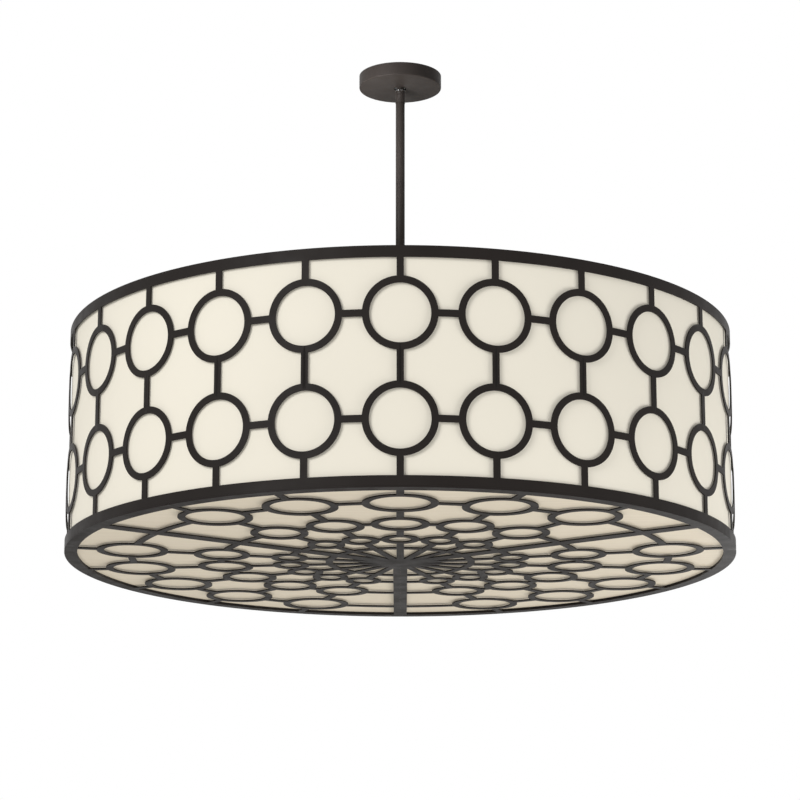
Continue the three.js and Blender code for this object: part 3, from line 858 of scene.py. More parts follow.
@dataclass(frozen=True)
class SideGrille:
    """The drum's side: rings and bars cut from one sheet and rolled to a cylinder."""

    drum: DrumSizes
    columns: int = 24
    row_share: float = 0.4367
    link: float = 0.0413
    band: float = 0.025
    bends: int = 12
    circle_steps: int = 96
    merging: float = 1e-6

    @property
    def pitch(self) -> float:
        """Arc length of one column of the pattern."""
        return TURN * self.drum.radius / self.columns

    def cell(self) -> tuple[np.ndarray, np.ndarray]:
        """Cuts one column of the pattern, unrolled: x along the arc, y up from the drum's bottom.

        Metal is where a ring lies between its two circles, within half a bar of a ring's level
        outside its circle, within half a bar of the column's axis outside the circles, or in a band.

        Returns:
            The points and the triangles.
        """
        half, low, height = self.pitch / 2.0, self.drum.sheet + GAP, self.drum.height
        radius = half - self.link / 2.0
        hole, arm = radius - self.drum.bar, self.drum.bar / 2.0
        rows = [height * (1.0 + sign * self.row_share) / 2.0 for sign in (-1.0, 1.0)]
        pattern = FlatPattern()
        for x in np.linspace(-half, half, self.bends + 1):
            pattern.line((x, low), (x, height))
        for y in (low, self.band, height - self.band, height):
            pattern.line((-half, y), (half, y))
        for x in (-arm, arm):
            pattern.line((x, self.band), (x, height - self.band))
        for row in rows:
            for size in (radius, hole):
                pattern.arc((0.0, row), size, self.circle_steps)
            for y in (row - arm, row + arm):
                pattern.line((-half, y), (half, y))

        def is_metal(x: np.ndarray, y: np.ndarray) -> np.ndarray:
            """Tells which places are metal.

            Args:
                x: The places' x.
                y: The places' y.

            Returns:
                True for each place that is metal.
            """
            reach = np.stack([np.hypot(x, y - row) for row in rows])
            in_hole = (reach < hole).any(axis=0)
            in_disc = (reach < radius).any(axis=0)
            level = np.stack([np.abs(y - row) for row in rows]).min(axis=0) < arm
            banded = (y < self.band) | (y > height - self.band)
            inside = (y > low) & (y < height) & (np.abs(x) < half)
            return inside & (banded | ((in_disc | level | (np.abs(x) < arm)) & ~in_hole))

        return pattern.triangles(is_metal)

    def shell(self) -> Shell:
        """Rolls the columns side by side into a closed hoop.

        A point at arc length s and height h goes to the angle s over the radius. Points that two
        columns share are found by rounding and merged.

        Returns:
            The closed shell.
        """
        places, faces = self.cell()
        around = TURN * self.drum.radius
        count = len(places)
        shifts = np.arange(self.columns) * self.pitch
        arc = (places[None, :, 0] + shifts[:, None]).ravel() % around
        height = np.tile(places[:, 1], self.columns)
        faces = (faces[None, :, :] + count * np.arange(self.columns)[:, None, None]).reshape(-1, 3)
        steps = round(around / self.merging)
        key = np.stack([np.rint(arc / self.merging) % steps, np.rint(height / self.merging)], axis=1)
        _, first, same = np.unique(key, axis=0, return_index=True, return_inverse=True)
        angle, height = arc[first] / self.drum.radius, height[first] + self.drum.bottom
        surfaces = []
        for radius in (self.drum.radius, self.drum.radius - self.drum.sheet):
            x, y = polar(radius, angle)
            surfaces.append(np.stack([x, y, height], axis=1))
        return thickened(surfaces[0], surfaces[1], same.reshape(-1)[faces])

    def build(self, workshop: Workshop) -> None:
        """Makes the side grille."""
        workshop.fine("side_grille", self.shell(), Slot.BRONZE)


@dataclass(frozen=True)
class BottomGrille:
    """The drum's bottom: three equal sections of rings and bars in a slightly dished plate."""

    drum: DrumSizes
    positions: int = 18
    sections: int = 3
    places: tuple[float, ...] = (0.8015, 0.5365, 0.3345)
    sizes: tuple[float, ...] = (0.1055, 0.0833, 0.0551)
    inner_hoop: float = 0.2125
    bar: float = 0.0165
    rim: float = 0.029
    seam_bar: float = 0.01625
    seam: float = 0.00002
    seam_reach: float = 1.02
    circle_steps: int = 88
    hoop_steps: int = 192
    overlap: float = 0.1

    def section(self) -> tuple[np.ndarray, np.ndarray]:
        """Cuts one section of the pattern about the front.

        Metal is the rim, the bars along the spokes and seams, the hoops about the stem and the discs,
        less the circles' holes, inside the two seam lines.

        Returns:
            The points and the triangles.
        """
        drum, half = self.drum, math.pi / self.sections
        step, arm = TURN / self.positions, self.bar / 2.0
        spokes = np.arange(1, self.positions // self.sections) * step - half
        rows = np.stack([self.places, self.sizes], axis=1) * drum.radius
        hoops = [self.inner_hoop * drum.radius] + [place for place, _ in rows]
        centres = [(np.array(polar(place, angle)), size) for place, size in rows for angle in spokes]
        inner_rim, origin = drum.radius - self.rim, np.zeros(2)
        pattern = FlatPattern()
        edges = [hoop + side * arm for hoop in hoops for side in (-1.0, 1.0)]
        for radius in (drum.radius, inner_rim, *edges):
            pattern.arc((0.0, 0.0), radius, self.hoop_steps, (-half - self.overlap, half + self.overlap))
        for angle in spokes:
            pattern.bar(origin, np.array(polar(drum.radius, angle)), self.bar)
        for angle in (-half, half):
            end = np.array(polar(self.seam_reach * drum.radius, angle))
            for width in (2.0 * self.seam_bar, self.seam):
                pattern.bar(origin, end, width)
        for centre, size in centres:
            for circle in (size, size - self.bar):
                pattern.arc(tuple(centre), circle, self.circle_steps)

        def is_metal(x: np.ndarray, y: np.ndarray) -> np.ndarray:
            """Tells which places are metal.

            Args:
                x: The places' x.
                y: The places' y.

            Returns:
                True for each place that is metal.
            """
            radius, angle = np.hypot(x, y), np.arctan2(x, -y)
            metal = radius > inner_rim
            for turn in (angle - spoke for spoke in spokes):
                metal |= np.abs(radius * np.sin(turn)) < np.where(np.cos(turn) > 0, arm, 0)
            to_seam = radius * np.sin(half - np.abs(angle))
            metal |= to_seam < self.seam_bar
            for hoop in hoops:
                metal |= np.abs(radius - hoop) < arm
            reach = [np.hypot(x - centre[0], y - centre[1]) for centre, _ in centres]
            for distance, (_, size) in zip(reach, centres):
                metal |= distance < size
            for distance, (_, size) in zip(reach, centres):
                metal &= distance > size - self.bar
            return metal & (radius < drum.radius) & (np.abs(angle) < half) & (to_seam > self.seam / 2.0)

        return pattern.triangles(is_metal)

    def shell(self) -> Shell:
        """Gives the flat section its thickness and its dish.

        Returns:
            The closed shell of the front section.
        """
        places, faces = self.section()
        sunk = self.drum.bottom - self.drum.dish_at(np.hypot(places[:, 0], places[:, 1]))
        surfaces = [np.column_stack([places, sunk + lift]) for lift in (0.0, self.drum.sheet)]
        return thickened(surfaces[0], surfaces[1], faces)

    def build(self, workshop: Workshop) -> None:
        """Makes the three sections from one shell.

        Args:
            workshop: Where the pieces are made.
        """
        shell = self.shell()
        for side in Side:
            workshop.fine(f"bottom_grille_{side.word}", shell.turned(side.value), Slot.BRONZE)


@dataclass(frozen=True)
class Diffusers:
    """The plastic sheets behind the pierced metal."""

    drum: DrumSizes
    thickness: float = 0.003
    seam: float = 0.0006
    bottom_seam: float = 0.0005
    hub_radius: float = 0.035
    side_gap: float = 0.0035
    steps: int = 96
    rows: int = 12

    def side(self, from_angle: float, to_angle: float) -> Shell:
        """Makes half of the side diffuser, less half of the seam at each end.

        Args:
            from_angle: The angle where the half starts.
            to_angle: The angle where it ends.

        Returns:
            The closed shell.
        """
        drum, outer = self.drum, self.drum.diffuser_outside
        trim = self.seam / 2.0 / outer
        low, high = drum.floor + drum.angle_thickness + GAP, drum.top - drum.angle_thickness - GAP
        ends = (from_angle + trim, to_angle - trim)
        return wall_shell(outer, outer - self.thickness, low, high, ends, self.steps)

    def bottom(self) -> Shell:
        """Makes one third of the bottom diffuser, flat on the ring and dished inside it.

        The sheet is a grid in radius and angle. A point is as far down as the dish at its radius
        less the dish at the ring, and never above the ring.

        Returns:
            The closed shell of the front third.
        """
        drum = self.drum
        outer = drum.diffuser_outside - self.thickness - self.side_gap
        radii = np.append(np.linspace(self.hub_radius, drum.ring_inside, self.rows), outer)[:, None]
        sunk = np.minimum(0.0, drum.dish_at(drum.ring_inside) - drum.dish_at(radii))
        share = np.linspace(-1.0, 1.0, self.steps + 1)[None, :]
        x, y = polar(radii, share * (math.pi / len(Side) - self.bottom_seam / 2.0 / radii))
        z = np.broadcast_to(drum.floor + drum.angle_thickness + GAP + sunk, x.shape)
        under = np.stack([x, y, z], axis=2).reshape(-1, 3)
        over = under + np.array([0.0, 0.0, self.thickness])
        return thickened(under, over, halved(grid_faces(*x.shape, False, False)))

    def build(self, workshop: Workshop) -> None:
        """Makes the two halves of the side and the three sections of the bottom.

        Args:
            workshop: Where the pieces are made.
        """
        quarter = TURN / 4.0
        for word, start in (("front", -quarter), ("back", quarter)):
            half = self.side(start, start + 2.0 * quarter)
            workshop.fine(f"side_diffuser_{word}", half, Slot.SIDE_DIFFUSER)
        shell = self.bottom()
        for side in Side:
            workshop.fine(f"bottom_diffuser_{side.word}", shell.turned(side.value), Slot.BOTTOM_DIFFUSER,
                          f"bottom_panel_{side.word}")


@dataclass(frozen=True)
class RolledAngles:
    """The two rolled steel angles that stiffen the drum."""

    drum: DrumSizes
    fillet: float = 0.0015
    edge: float = 0.0006
    steps: int = 192

    def ring(self, base: float, up: float) -> Shell:
        """Revolves an angle section: a flat leg inwards and a wall that stands up or down.

        Args:
            base: Height of the flat leg's outer face.
            up: 1 where the wall stands up from it, or -1 where it hangs down.

        Returns:
            The closed shell.
        """
        drum, thick, edge = self.drum, self.drum.angle_thickness, self.edge
        inside, outside = drum.ring_inside, drum.ring_outside
        tip, leg = base + up * drum.angle_depth, base + up * thick
        return revolved(rounded([
            (inside, base, edge), (outside, base, edge), (outside, tip, edge),
            (outside - thick, tip, edge), (outside - thick, leg, self.fillet), (inside, leg, edge),
        ], 3), self.steps)

    def build(self, workshop: Workshop) -> None:
        """Makes the bottom and the top ring."""
        workshop.fine("bottom_ring", self.ring(self.drum.floor, 1.0), Slot.BRONZE)
        workshop.fine("top_ring", self.ring(self.drum.top, -1.0), Slot.BRONZE)


def span(node: str) -> Triple:
    """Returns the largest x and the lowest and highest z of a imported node."""
    low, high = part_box(node)
    return high.x, low.z, high.z


@dataclass(frozen=True)
class CeilingEnd:
    """The canopy, its two set screws and the seat of the ball joint."""

    sheet: float = 0.0018
    edge: float = 0.0026
    inner_edge: float = 0.0012
    mouth_edge: float = 0.0004
    throat_edge: float = 0.0005
    throat: float = 0.0144
    seat_inside: float = 0.0152
    liner_radii: Pair = (0.0139, 0.0148)
    liner_latitudes: Pair = (-30.0, 2.0)
    screw_drop: float = 0.010
    screw_radius: float = 0.002
    screw_stand: float = 0.0002
    screw_pitch: float = 0.0007
    thread_depth: float = 0.0002
    bare_end: float = 0.001

    def canopy(self) -> Shell:
        """Revolves the canopy's section: a rounded pan that is open at the ceiling.

        Returns:
            The closed shell.
        """
        radius, bottom, top = span("canopy")
        inner, floor = radius - self.sheet, bottom + self.sheet
        return revolved(rounded([
            (self.throat, bottom, self.throat_edge), (radius, bottom, self.edge),
            (radius, top, self.mouth_edge), (inner, top, self.mouth_edge),
            (inner, floor, self.inner_edge), (self.throat, floor, self.throat_edge),
        ], 8), 192)

    def seat(self) -> Shell:
        """Revolves the ring that the ball's liner slides in.

        Returns:
            The closed shell.
        """
        outside, bottom, centre = span("ball_seat")
        lowest = math.degrees(math.asin((bottom - centre) / self.seat_inside))
        arc = zone(self.seat_inside, centre, lowest, 0.0)
        return revolved(np.concatenate([arc, [[outside, centre], [outside, bottom]]]))

    def liner(self) -> Shell:
        """Revolves the thin liner between the ball and its seat.

        Returns:
            The closed shell.
        """
        centre, (low, high) = span("ball_seat")[2], self.liner_latitudes
        inner, outer = self.liner_radii
        return revolved(np.concatenate([zone(outer, centre, low, high), zone(inner, centre, high, low)]))

    def set_screw(self, node: str, turn: float) -> Shell:
        """Makes a screw along X with a slot across its outer end.

        Points of its outer end within a band across it are sunk by half a radius.

        Args:
            node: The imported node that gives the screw's length.
            turn: The turn of the screw about the stem.

        Returns:
            The closed shell.
        """
        low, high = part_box(node)
        radius, length = self.screw_radius, high.x - low.x + self.screw_stand
        half_slot, sink = 0.2 * radius, 0.5 * radius
        rings = np.linspace(1.0, 0.1, 8)[1:, None] * [[radius, 0.0]] + [[0.0, length]]
        profile = np.concatenate([wall(radius, 0.0, length, 0.0002), rings])
        shell = threaded(revolved(profile, 32, capped=True), radius, 0.0, length - self.bare_end,
                         self.screw_pitch, self.thread_depth)
        x, y, z = shell.points.T
        slotted = (np.abs(x) < half_slot) & (z > length - TOUCHING)
        z = np.where(slotted, z - sink, z) + min(abs(low.x), abs(high.x))
        return Shell(np.stack([z, y, -x - self.screw_drop], axis=1), shell.faces).turned(turn)

    def build(self, workshop: Workshop) -> None:
        """Makes the canopy, its screws, the seat and the liner.

        Args:
            workshop: Where the pieces are made.
        """
        fixed = Body.CEILING_END.value
        workshop.fine("canopy", self.canopy(), Slot.BRONZE, fixed)
        workshop.fine("ball_seat", self.seat(), Slot.ZINC, fixed)
        workshop.fine("swivel_liner", self.liner(), Slot.NYLON, Body.SWIVEL.value)
        for node, turn in (("canopy_screw_right", 0.0), ("canopy_screw_left", TURN / 2.0)):
            workshop.fine(node, self.set_screw(node, turn), Slot.ZINC, fixed)


@dataclass(frozen=True)
class StemLine:
    """What hangs in a line on the axis: ball, threaded coupling, stem, spider hub and nut."""

    ball_radius: float = 0.0135
    neck_radius: float = 0.008
    neck_bore: float = 0.005
    rim_height: float = 0.002
    # Height of the zinc ring on the coupling's rim, whose pale metal paints the rim's highlight.
    highlight_washer_height: float = 0.0011
    coupling_body: float = 0.0115
    coupling_height: float = 0.031
    coupling_bore: float = 0.00835
    bore_floor: float = 0.0133
    spigot: float = 0.0077
    thread_pitch: float = 0.0033
    thread_depth: float = 0.0009
    stem_wall: float = 0.0026
    stem_edge: float = 0.0004
    hub_bore: float = 0.01095
    hub_boss: float = 0.009
    hub_collar: float = 0.007
    boss_height: float = 0.019
    collar_height: float = 0.016
    nut_wall: float = 0.006
    nut_corner: float = 0.0002
    nut_chamfer: float = 0.0003
    nut_slope: float = 0.577
    nut_steps: int = 96

    def ball(self) -> Shell:
        """Revolves the ball with its hollow neck.

        Returns:
            The closed shell.
        """
        (_, bottom, top), centre = span("swivel_ball"), span("ball_seat")[2]
        neck = math.degrees(math.acos(self.neck_radius / self.ball_radius))
        cut = math.degrees(math.asin((top - centre) / self.ball_radius))
        arc = zone(self.ball_radius, centre, -neck, cut, 32)
        ends = [[self.neck_bore, bottom], [self.neck_radius, bottom]]
        return revolved(np.concatenate([ends, arc, [[self.neck_bore, top]]]))

    def coupling(self) -> Shell:
        """Revolves the coupling: a rim at its mouth, a threaded body and a spigot inside the stem.

        Returns:
            The closed shell.
        """
        rim, bottom, top = span("stem_coupling")
        body, bore, foot = self.coupling_body, self.coupling_bore, top - self.coupling_height
        under, seat, floor = top - self.rim_height, top - self.highlight_washer_height, top - self.bore_floor
        mouth = rounded([(bore, seat, 0.0002), (rim, seat, 0.0003), (rim, under, 0.0004)], 5)
        inner = [[self.spigot, foot], [self.spigot, bottom],
                 [self.neck_bore, bottom], [self.neck_bore, floor], [bore, floor]]
        shell = revolved(np.concatenate([mouth, wall(body, under, foot, 0.00027), inner]), 72)
        return threaded(shell, body, foot, under, self.thread_pitch, self.thread_depth)

    def highlight_washer(self) -> Shell:
        """Revolves the bare zinc ring on the coupling's rim, whose pale metal paints the highlight on the
        rim.

        Returns:
            The closed shell.
        """
        rim, _, top = span("stem_coupling")
        low, bore = top - self.highlight_washer_height, self.coupling_bore
        return revolved(rounded([(bore, low, 0.0001), (rim, low, 0.0003), (rim, top, 0.0005),
                                 (bore, top, 0.0001)]))

    def stem(self) -> Shell:
        """Revolves the stem's tube.

        Returns:
            The closed shell.
        """
        radius, bottom, top = span("stem")
        inside, edge = radius - self.stem_wall, self.stem_edge
        return revolved(rounded([(inside, bottom, edge), (radius, bottom, edge), (radius, top, edge),
                                 (inside, top, edge)], 2))

    def hub(self) -> Shell:
        """Revolves the hub that the spider's arms are screwed to.

        Returns:
            The closed shell.
        """
        flange, bottom, top = span("spider_hub")
        bore = self.hub_bore
        boss, collar = bore + self.hub_boss, bore + self.hub_collar
        under, over = bottom + self.boss_height, top - self.collar_height
        return revolved(rounded([
            (bore, bottom, 0.0005), (boss, bottom, 0.001), (boss, under, 0.0015), (flange, under, 0.0008),
            (flange, over, 0.001), (collar, over, 0.002), (collar, top, 0.001), (bore, top, 0.0005),
        ]))

    def nut(self) -> Shell:
        """Makes a six-sided nut with both its faces turned down to a circle.

        At the angle a its side is flat / cos((a mod 60) - 30) from the axis, and the turned corners
        rise by 0.577 times what the side stands out past the flat.

        Returns:
            The closed shell.
        """
        (_, bottom, top), steps = span("hub_nut"), self.nut_steps
        flat = (self.hub_bore + self.nut_wall) * math.cos(TURN / 12.0)
        angles = np.arange(steps) * (TURN / steps)
        side = flat / np.cos(angles % (TURN / 6.0) - TURN / 12.0)
        corner = self.nut_slope * (side - flat) + self.nut_corner
        bore, face = np.full(steps, self.hub_bore), np.full(steps, flat - self.nut_chamfer)
        low, high = np.full(steps, bottom), np.full(steps, top)
        return revolved(np.array([(bore, low), (face, low), (side, bottom + corner), (side, top - corner),
                                  (face, high), (bore, high)]))

    def build(self, workshop: Workshop) -> None:
        """Makes the pieces of the line.

        Args:
            workshop: Where the pieces are made.
        """
        for node, shell, slot in (("swivel_ball", self.ball(), Slot.BRONZE),
                                  ("stem_coupling", self.coupling(), Slot.BRONZE),
                                  ("stem", self.stem(), Slot.BRONZE),
                                  ("spider_hub", self.hub(), Slot.BRONZE),
                                  ("hub_nut", self.nut(), Slot.ZINC)):
            workshop.fine(node, shell, slot)
        # A painted highlight: the pale zinc ring stands in for the highlight on the coupling's rim.
        workshop.piece("coupling_highlight_washer", self.highlight_washer(), Slot.ZINC)


@dataclass(frozen=True)
class Spider:
    """The six flat arms that carry the drum, with their screws and those of the diffuser clips."""

    drum: DrumSizes
    arms: int = 6
    width: float = 0.025
    thickness: float = 0.008
    edge: float = 0.0006
    start: float = 0.028
    end_gap: float = 0.0113
    hub_screw_place: float = 0.044
    ring_screw_place: float = 0.008
    flange: float = 0.005
    head: Pair = (0.0045, 0.0026)
    clip_head: Pair = (0.0035, 0.002)
    clip_screw_place: float = 0.0105
    clip_sheet: float = 0.002

    def build(self, workshop: Workshop) -> None:
        """Makes the arms, the screws at both of their ends and the screws of the clips.

        Args:
            workshop: Where the pieces are made.
        """
        drum, turn = self.drum, TURN / self.arms
        top = drum.top - drum.angle_thickness
        ends = (self.start, drum.ring_outside - self.end_gap + GAP)
        arm = flat_bar(self.width, self.thickness, ends, top - GAP, self.edge)
        for index in range(self.arms):
            workshop.fine(f"spider_arm_{index + 1}", arm.turned((index + 0.5) * turn), Slot.BRONZE)
        head, clip = screw_head(*self.head), screw_head(*self.clip_head, -1.0)
        clip_place = drum.diffuser_outside - self.clip_screw_place
        for name, shell, place, height, first in (
                ("hub_screws", head, self.hub_screw_place, top + self.flange, 0.5),
                ("ring_screws", head, drum.ring_inside + self.ring_screw_place, drum.top, 0.5),
                ("clip_screws", clip, clip_place, top - GAP - self.clip_sheet, 0.0)):
            screws = spread(shell.moved(0.0, -place, height), self.arms, first * turn)
            workshop.piece(name, screws, Slot.ZINC)


@dataclass(frozen=True)
class LampCluster:
    """The lamps inside the drum: a turned body on the stem's foot, six arms, holders and bulbs."""

    lamps: int = 6
    stem_bore: float = 0.01095
    stem_seat: float = 0.012
    wire_hole: float = 0.00615
    neck: float = 0.01495
    neck_height: float = 0.008
    barrel_height: float = 0.040
    stud: float = 0.0058
    stud_pitch: float = 0.0012
    stud_depth: float = 0.0004
    bud_height: float = 0.016
    arm_radius: float = 0.005
    arm_level: float = 0.020
    bend: float = 0.030
    arm_insert: float = 0.008
    ferrule_radius: float = 0.0085
    ferrule_height: float = 0.005
    ferrule_shoulder: float = 0.004
    socket_foot: float = 0.010
    foot_height: float = 0.008
    shoulder: float = 0.014
    socket_floor: float = 0.022
    socket_bore: float = 0.0142
    socket_hole: float = 0.002
    rib_depth: float = 0.0007
    rib_pitch: float = 0.012
    screw_shell: float = 0.0138
    shell_floor: float = 0.0225
    shell_sheet: float = 0.0004
    base_radius: float = 0.0132
    base_height: float = 0.031
    base_foot: float = 0.006
    base_pitch: float = 0.0036
    base_depth: float = 0.0008

    def body(self) -> Shell:
        """Revolves the cluster's body.

        Returns:
            The closed shell.
        """
        radius, low, high = span("cluster_body")
        floor, hole = high - self.stem_seat, self.wire_hole
        return revolved(rounded([
            (self.stem_bore, high, 0.0004), (self.neck, high, 0.001),
            (self.neck, high - self.neck_height, 0.002), (radius, low + self.barrel_height, 0.004),
            (radius, low, 0.0015), (hole, low, 0.0004), (hole, floor, 0.0004), (self.stem_bore, floor, 0.0),
        ]))

    def cap(self) -> Shell:
        """Revolves the cap under the body, with a raised bead round its edge.

        Returns:
            The closed shell.
        """
        (radius, low, high), hole = span("cluster_cap"), self.wire_hole
        return revolved(rounded([
            (hole, low, 0.0003), (radius - 0.006, low, 0.001), (radius - 0.005, low + 0.0008, 0.0004),
            (radius - 0.003, low + 0.0002, 0.001), (radius, high - 0.002, 0.0012), (radius, high, 0.0004),
            (hole, high, 0.0003),
        ]))

    def finial(self) -> Shell:
        """Revolves the finial: a turned bud below a neck, on a threaded stud.

        The bud's radius is that of its widest place times sin(90 s) to the power 0.8, less up to 0.3
        of it in its upper half, and its height goes with s to the power 1.3.

        Returns:
            The closed shell.
        """
        radius, low, high = span("cluster_finial")
        share, foot = np.linspace(0.02, 1.0, 24), low + self.bud_height
        waist = 1.0 - 0.3 * np.clip(2.0 * share - 1.0, 0, 1) ** 2
        bud = np.stack([radius * np.sin(0.5 * math.pi * share) ** 0.8 * waist,
                        low + self.bud_height * share ** 1.3], axis=1)
        shell = revolved(np.concatenate([bud, wall(self.stud, foot, high, 0.00025)]), 48, capped=True)
        return threaded(shell, self.stud, foot, high, self.stud_pitch, self.stud_depth)

    def arm(self) -> Shell:
        """Carries the arm's tube out from the body, round its bend and up to the lamp holder.

        Returns:
            The closed shell.
        """
        (radius, low, _), (near, far) = span("cluster_body"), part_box("lamp_arm_1")
        out, level = -near.y - self.arm_radius, low + self.arm_level
        angle = np.linspace(0.0, TURN / 4.0, 25)
        y = np.concatenate([[radius - self.arm_insert], out - self.bend + self.bend * np.sin(angle), [out]])
        z = np.concatenate([[level], level + self.bend * (1.0 - np.cos(angle)), [far.z]])
        return tube_along(np.stack([np.zeros_like(y), -y, z], axis=1), self.arm_radius)

    def ferrule(self) -> Shell:
        """Makes the ring nut that clamps an arm to the body, on the arm's axis.

        Returns:
            The closed shell.
        """
        radius, low, _ = span("cluster_body")
        inside, outside = self.arm_radius + 0.0001, self.ferrule_radius
        ring = revolved(rounded([
            (inside, 0.0, 0.0), (outside, 0.0, 0.0005),
            (outside, self.ferrule_shoulder, 0.001), (inside, self.ferrule_height, 0.0005),
        ]), 32)
        x, y, z = ring.points.T
        return Shell(np.stack([x, -radius - z, y + low + self.arm_level], axis=1), ring.faces).outward()

    def holder(self) -> Shell:
        """Revolves the ceramic lamp holder, with rounded ribs round its body.

        The wall moves in by the ribs' depth times the positive part of the sine of its height.

        Returns:
            The closed shell.
        """
        low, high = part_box("socket_1")
        outside, bottom, top = (high.x - low.x) / 2.0, low.z, high.z
        shoulder, floor, foot = bottom + self.shoulder, bottom + self.socket_floor, bottom + self.foot_height
        side = wall(outside, shoulder + 0.002, top - 0.001, 0.001)
        ribs = np.clip(np.sin((side[:, 1] - shoulder) * TURN / self.rib_pitch), 0.0, 1.0)
        side[:, 0] -= self.rib_depth * ribs
        outer = rounded([(self.socket_foot, bottom, 0.001), (self.socket_foot, foot, 0.002)], 3)
        inner = [[self.socket_bore, top], [self.socket_bore, floor], [self.socket_hole, floor],
                 [self.socket_hole, bottom]]
        return revolved(np.concatenate([outer, side, inner]), 64)

    def lining(self) -> Shell:
        """Revolves the thin metal screw shell inside a holder.

        Returns:
            The closed shell.
        """
        (_, bottom, top), outside = span("socket_1"), self.screw_shell
        low, high, inside = bottom + self.shell_floor, top - 0.002, outside - self.shell_sheet
        return revolved(np.array([[outside, low], [outside, high], [inside, high], [inside, low]]), 48)

    def envelope(self) -> Shell:
        """Revolves the bulb's glass: a neck that swells by a quadratic curve into a globe.

        Returns:
            The closed shell.
        """
        low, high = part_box("bulb_1")
        radius, neck = (high.x - low.x) / 2.0, low.z + self.base_height
        centre, slant = high.z - radius, radius * math.sqrt(0.5)
        joint = np.array([slant, centre - slant])
        start = np.array([self.base_radius, neck])
        control = np.array([self.base_radius, joint[1] - (joint[0] - self.base_radius)])
        share = np.linspace(0.0, 1.0, 13)[:-1, None]
        curve = (1 - share) ** 2 * start + 2 * share * (1 - share) * control + share ** 2 * joint
        return revolved(np.concatenate([curve, zone(radius, centre, -45.0, 89.0, 32)]), 64, capped=True)

    def base(self) -> Shell:
        """Revolves the bulb's screw base: a contact, a cone and a threaded shell.

        Returns:
            The closed shell.
        """
        bottom, radius = span("bulb_1")[1], self.base_radius
        start, top = bottom + self.base_foot, bottom + self.base_height
        foot = [[0.004, bottom], [0.0045, bottom + 0.001], [0.011, bottom + 0.005]]
        profile = np.concatenate([foot, wall(radius, start, top - 0.0002, 0.0006)])
        shell = revolved(profile, 48, capped=True)
        return threaded(shell, radius, start, top - 0.004, self.base_pitch, self.base_depth)

    def build(self, workshop: Workshop) -> None:
        """Makes the body, its cap and finial, and six sets of arm, holder and bulb.

        Args:
            workshop: Where the pieces are made.
        """
        for node, shell, slot in (("cluster_body", self.body(), Slot.ZINC),
                                  ("cluster_cap", self.cap(), Slot.ZINC),
                                  ("cluster_finial", self.finial(), Slot.BRASS)):
            workshop.fine(node, shell, slot)
        y = sum(corner.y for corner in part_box("bulb_1")) / 2.0
        lamp = (("lamp_arm", self.arm(), 0.0, Slot.ZINC, workshop.fine),
                ("arm_ferrule", self.ferrule(), 0.0, Slot.BRASS, workshop.piece),
                ("socket", self.holder(), y, Slot.CERAMIC, workshop.fine),
                ("screw_shell", self.lining(), y, Slot.BRASS, workshop.piece),
                ("bulb", self.envelope(), y, Slot.GLASS, workshop.fine),
                ("bulb_base", self.base(), y, Slot.ZINC, workshop.piece))
        turn = TURN / self.lamps
        for index in range(self.lamps):
            for word, shell, place, slot, make in lamp:
                make(f"{word}_{index + 1}", shell.moved(0.0, place, 0.0).turned(index * turn), slot)


@dataclass(frozen=True)
class HubPlate:
    """The dished plate under the inner tips of the bottom's sections."""

    drum: DrumSizes
    hole: float = 0.005
    thickness: float = 0.003
    hole_edge: float = 0.0004
    edge: float = 0.0006

    def build(self, workshop: Workshop) -> None:
        """Makes the plate: a ring of even thickness that follows the dish.

        Args:
            workshop: Where the piece is made.
        """
        radius, low = span("hub_plate")[0], self.drum.floor
        high = low + self.thickness
        flat = rounded([(self.hole, low, self.hole_edge), (radius, low, self.edge),
                        (radius, high, self.edge), (self.hole, high, self.hole_edge)])
        flat[:, 1] -= self.drum.dish_at(flat[:, 0])
        workshop.fine("hub_plate", revolved(flat), Slot.ZINC)


# Studio


@dataclass(frozen=True)
class SoftPanel:
    """A square soft light: where it stands, what it faces, the length of its side and its watts."""

    name: str
    place: Triple
    aim: Triple
    side: float
    watts: float

    def light(self) -> None:
        """Adds the light to the scene. The camera doesn't see it."""
        lamp = bpy.data.lights.new(self.name, "AREA")
        lamp.size, lamp.energy = self.side, self.watts
        holder = bpy.data.objects.new(self.name, lamp)
        holder.visible_camera = False
        holder.location = self.place
        facing = Vector(self.aim) - Vector(self.place)
        holder.rotation_euler = facing.to_track_quat("-Z", "Y").to_euler()
        bpy.context.scene.collection.objects.link(holder)


@dataclass(frozen=True)
class Floor:
    """A wide pale floor, well below the lamp, that curves down at its edge."""

    height: float = -4.2
    radius: float = 14.0
    drop: float = 0.02
    rings: int = 14
    sides: int = 64
    colours: tuple[Display, Display] = ((236, 235, 232), (240, 239, 236))
    roughness: float = 0.9
    specular: float = 0.2
    cloud_scale: float = 0.8
    cloud_detail: float = 2.0

    def lay(self) -> None:
        """Lays the floor.

        A point at the radius r is lower than the middle by the drop times r / radius to the power 6.
        """
        radii = np.linspace(0.0, self.radius, self.rings + 1)[1:, None]
        angles = np.arange(self.sides) * (TURN / self.sides)
        x, y = polar(radii, angles[None, :])
        z = np.broadcast_to(self.height - self.drop * (radii / self.radius) ** 6, x.shape)
        points = np.concatenate([np.stack([x, y, z], axis=2).reshape(-1, 3), [[0.0, 0.0, self.height]]])
        here = np.arange(self.sides)
        fan = np.stack([np.full(self.sides, len(points) - 1), (here + 1) % self.sides, here], axis=1)
        quads = grid_faces(self.rings, self.sides, False, True)
        mesh = bpy.data.meshes.new("studio_floor")
        mesh.from_pydata(points.tolist(), [], quads.tolist() + fan.tolist())
        bench = ShaderBench("studio_floor")
        bench.fixed(Roughness=self.roughness, Specular_IOR_Level=self.specular)
        dark, pale = (linear(*colour) for colour in self.colours)
        bench.finished(Base_Color=bench.mixed(bench.noise(self.cloud_scale, self.cloud_detail), dark, pale))
        mesh.materials.append(bench.material)
        floor = bpy.data.objects.new("studio_floor", mesh)
        bpy.context.scene.collection.objects.link(floor)


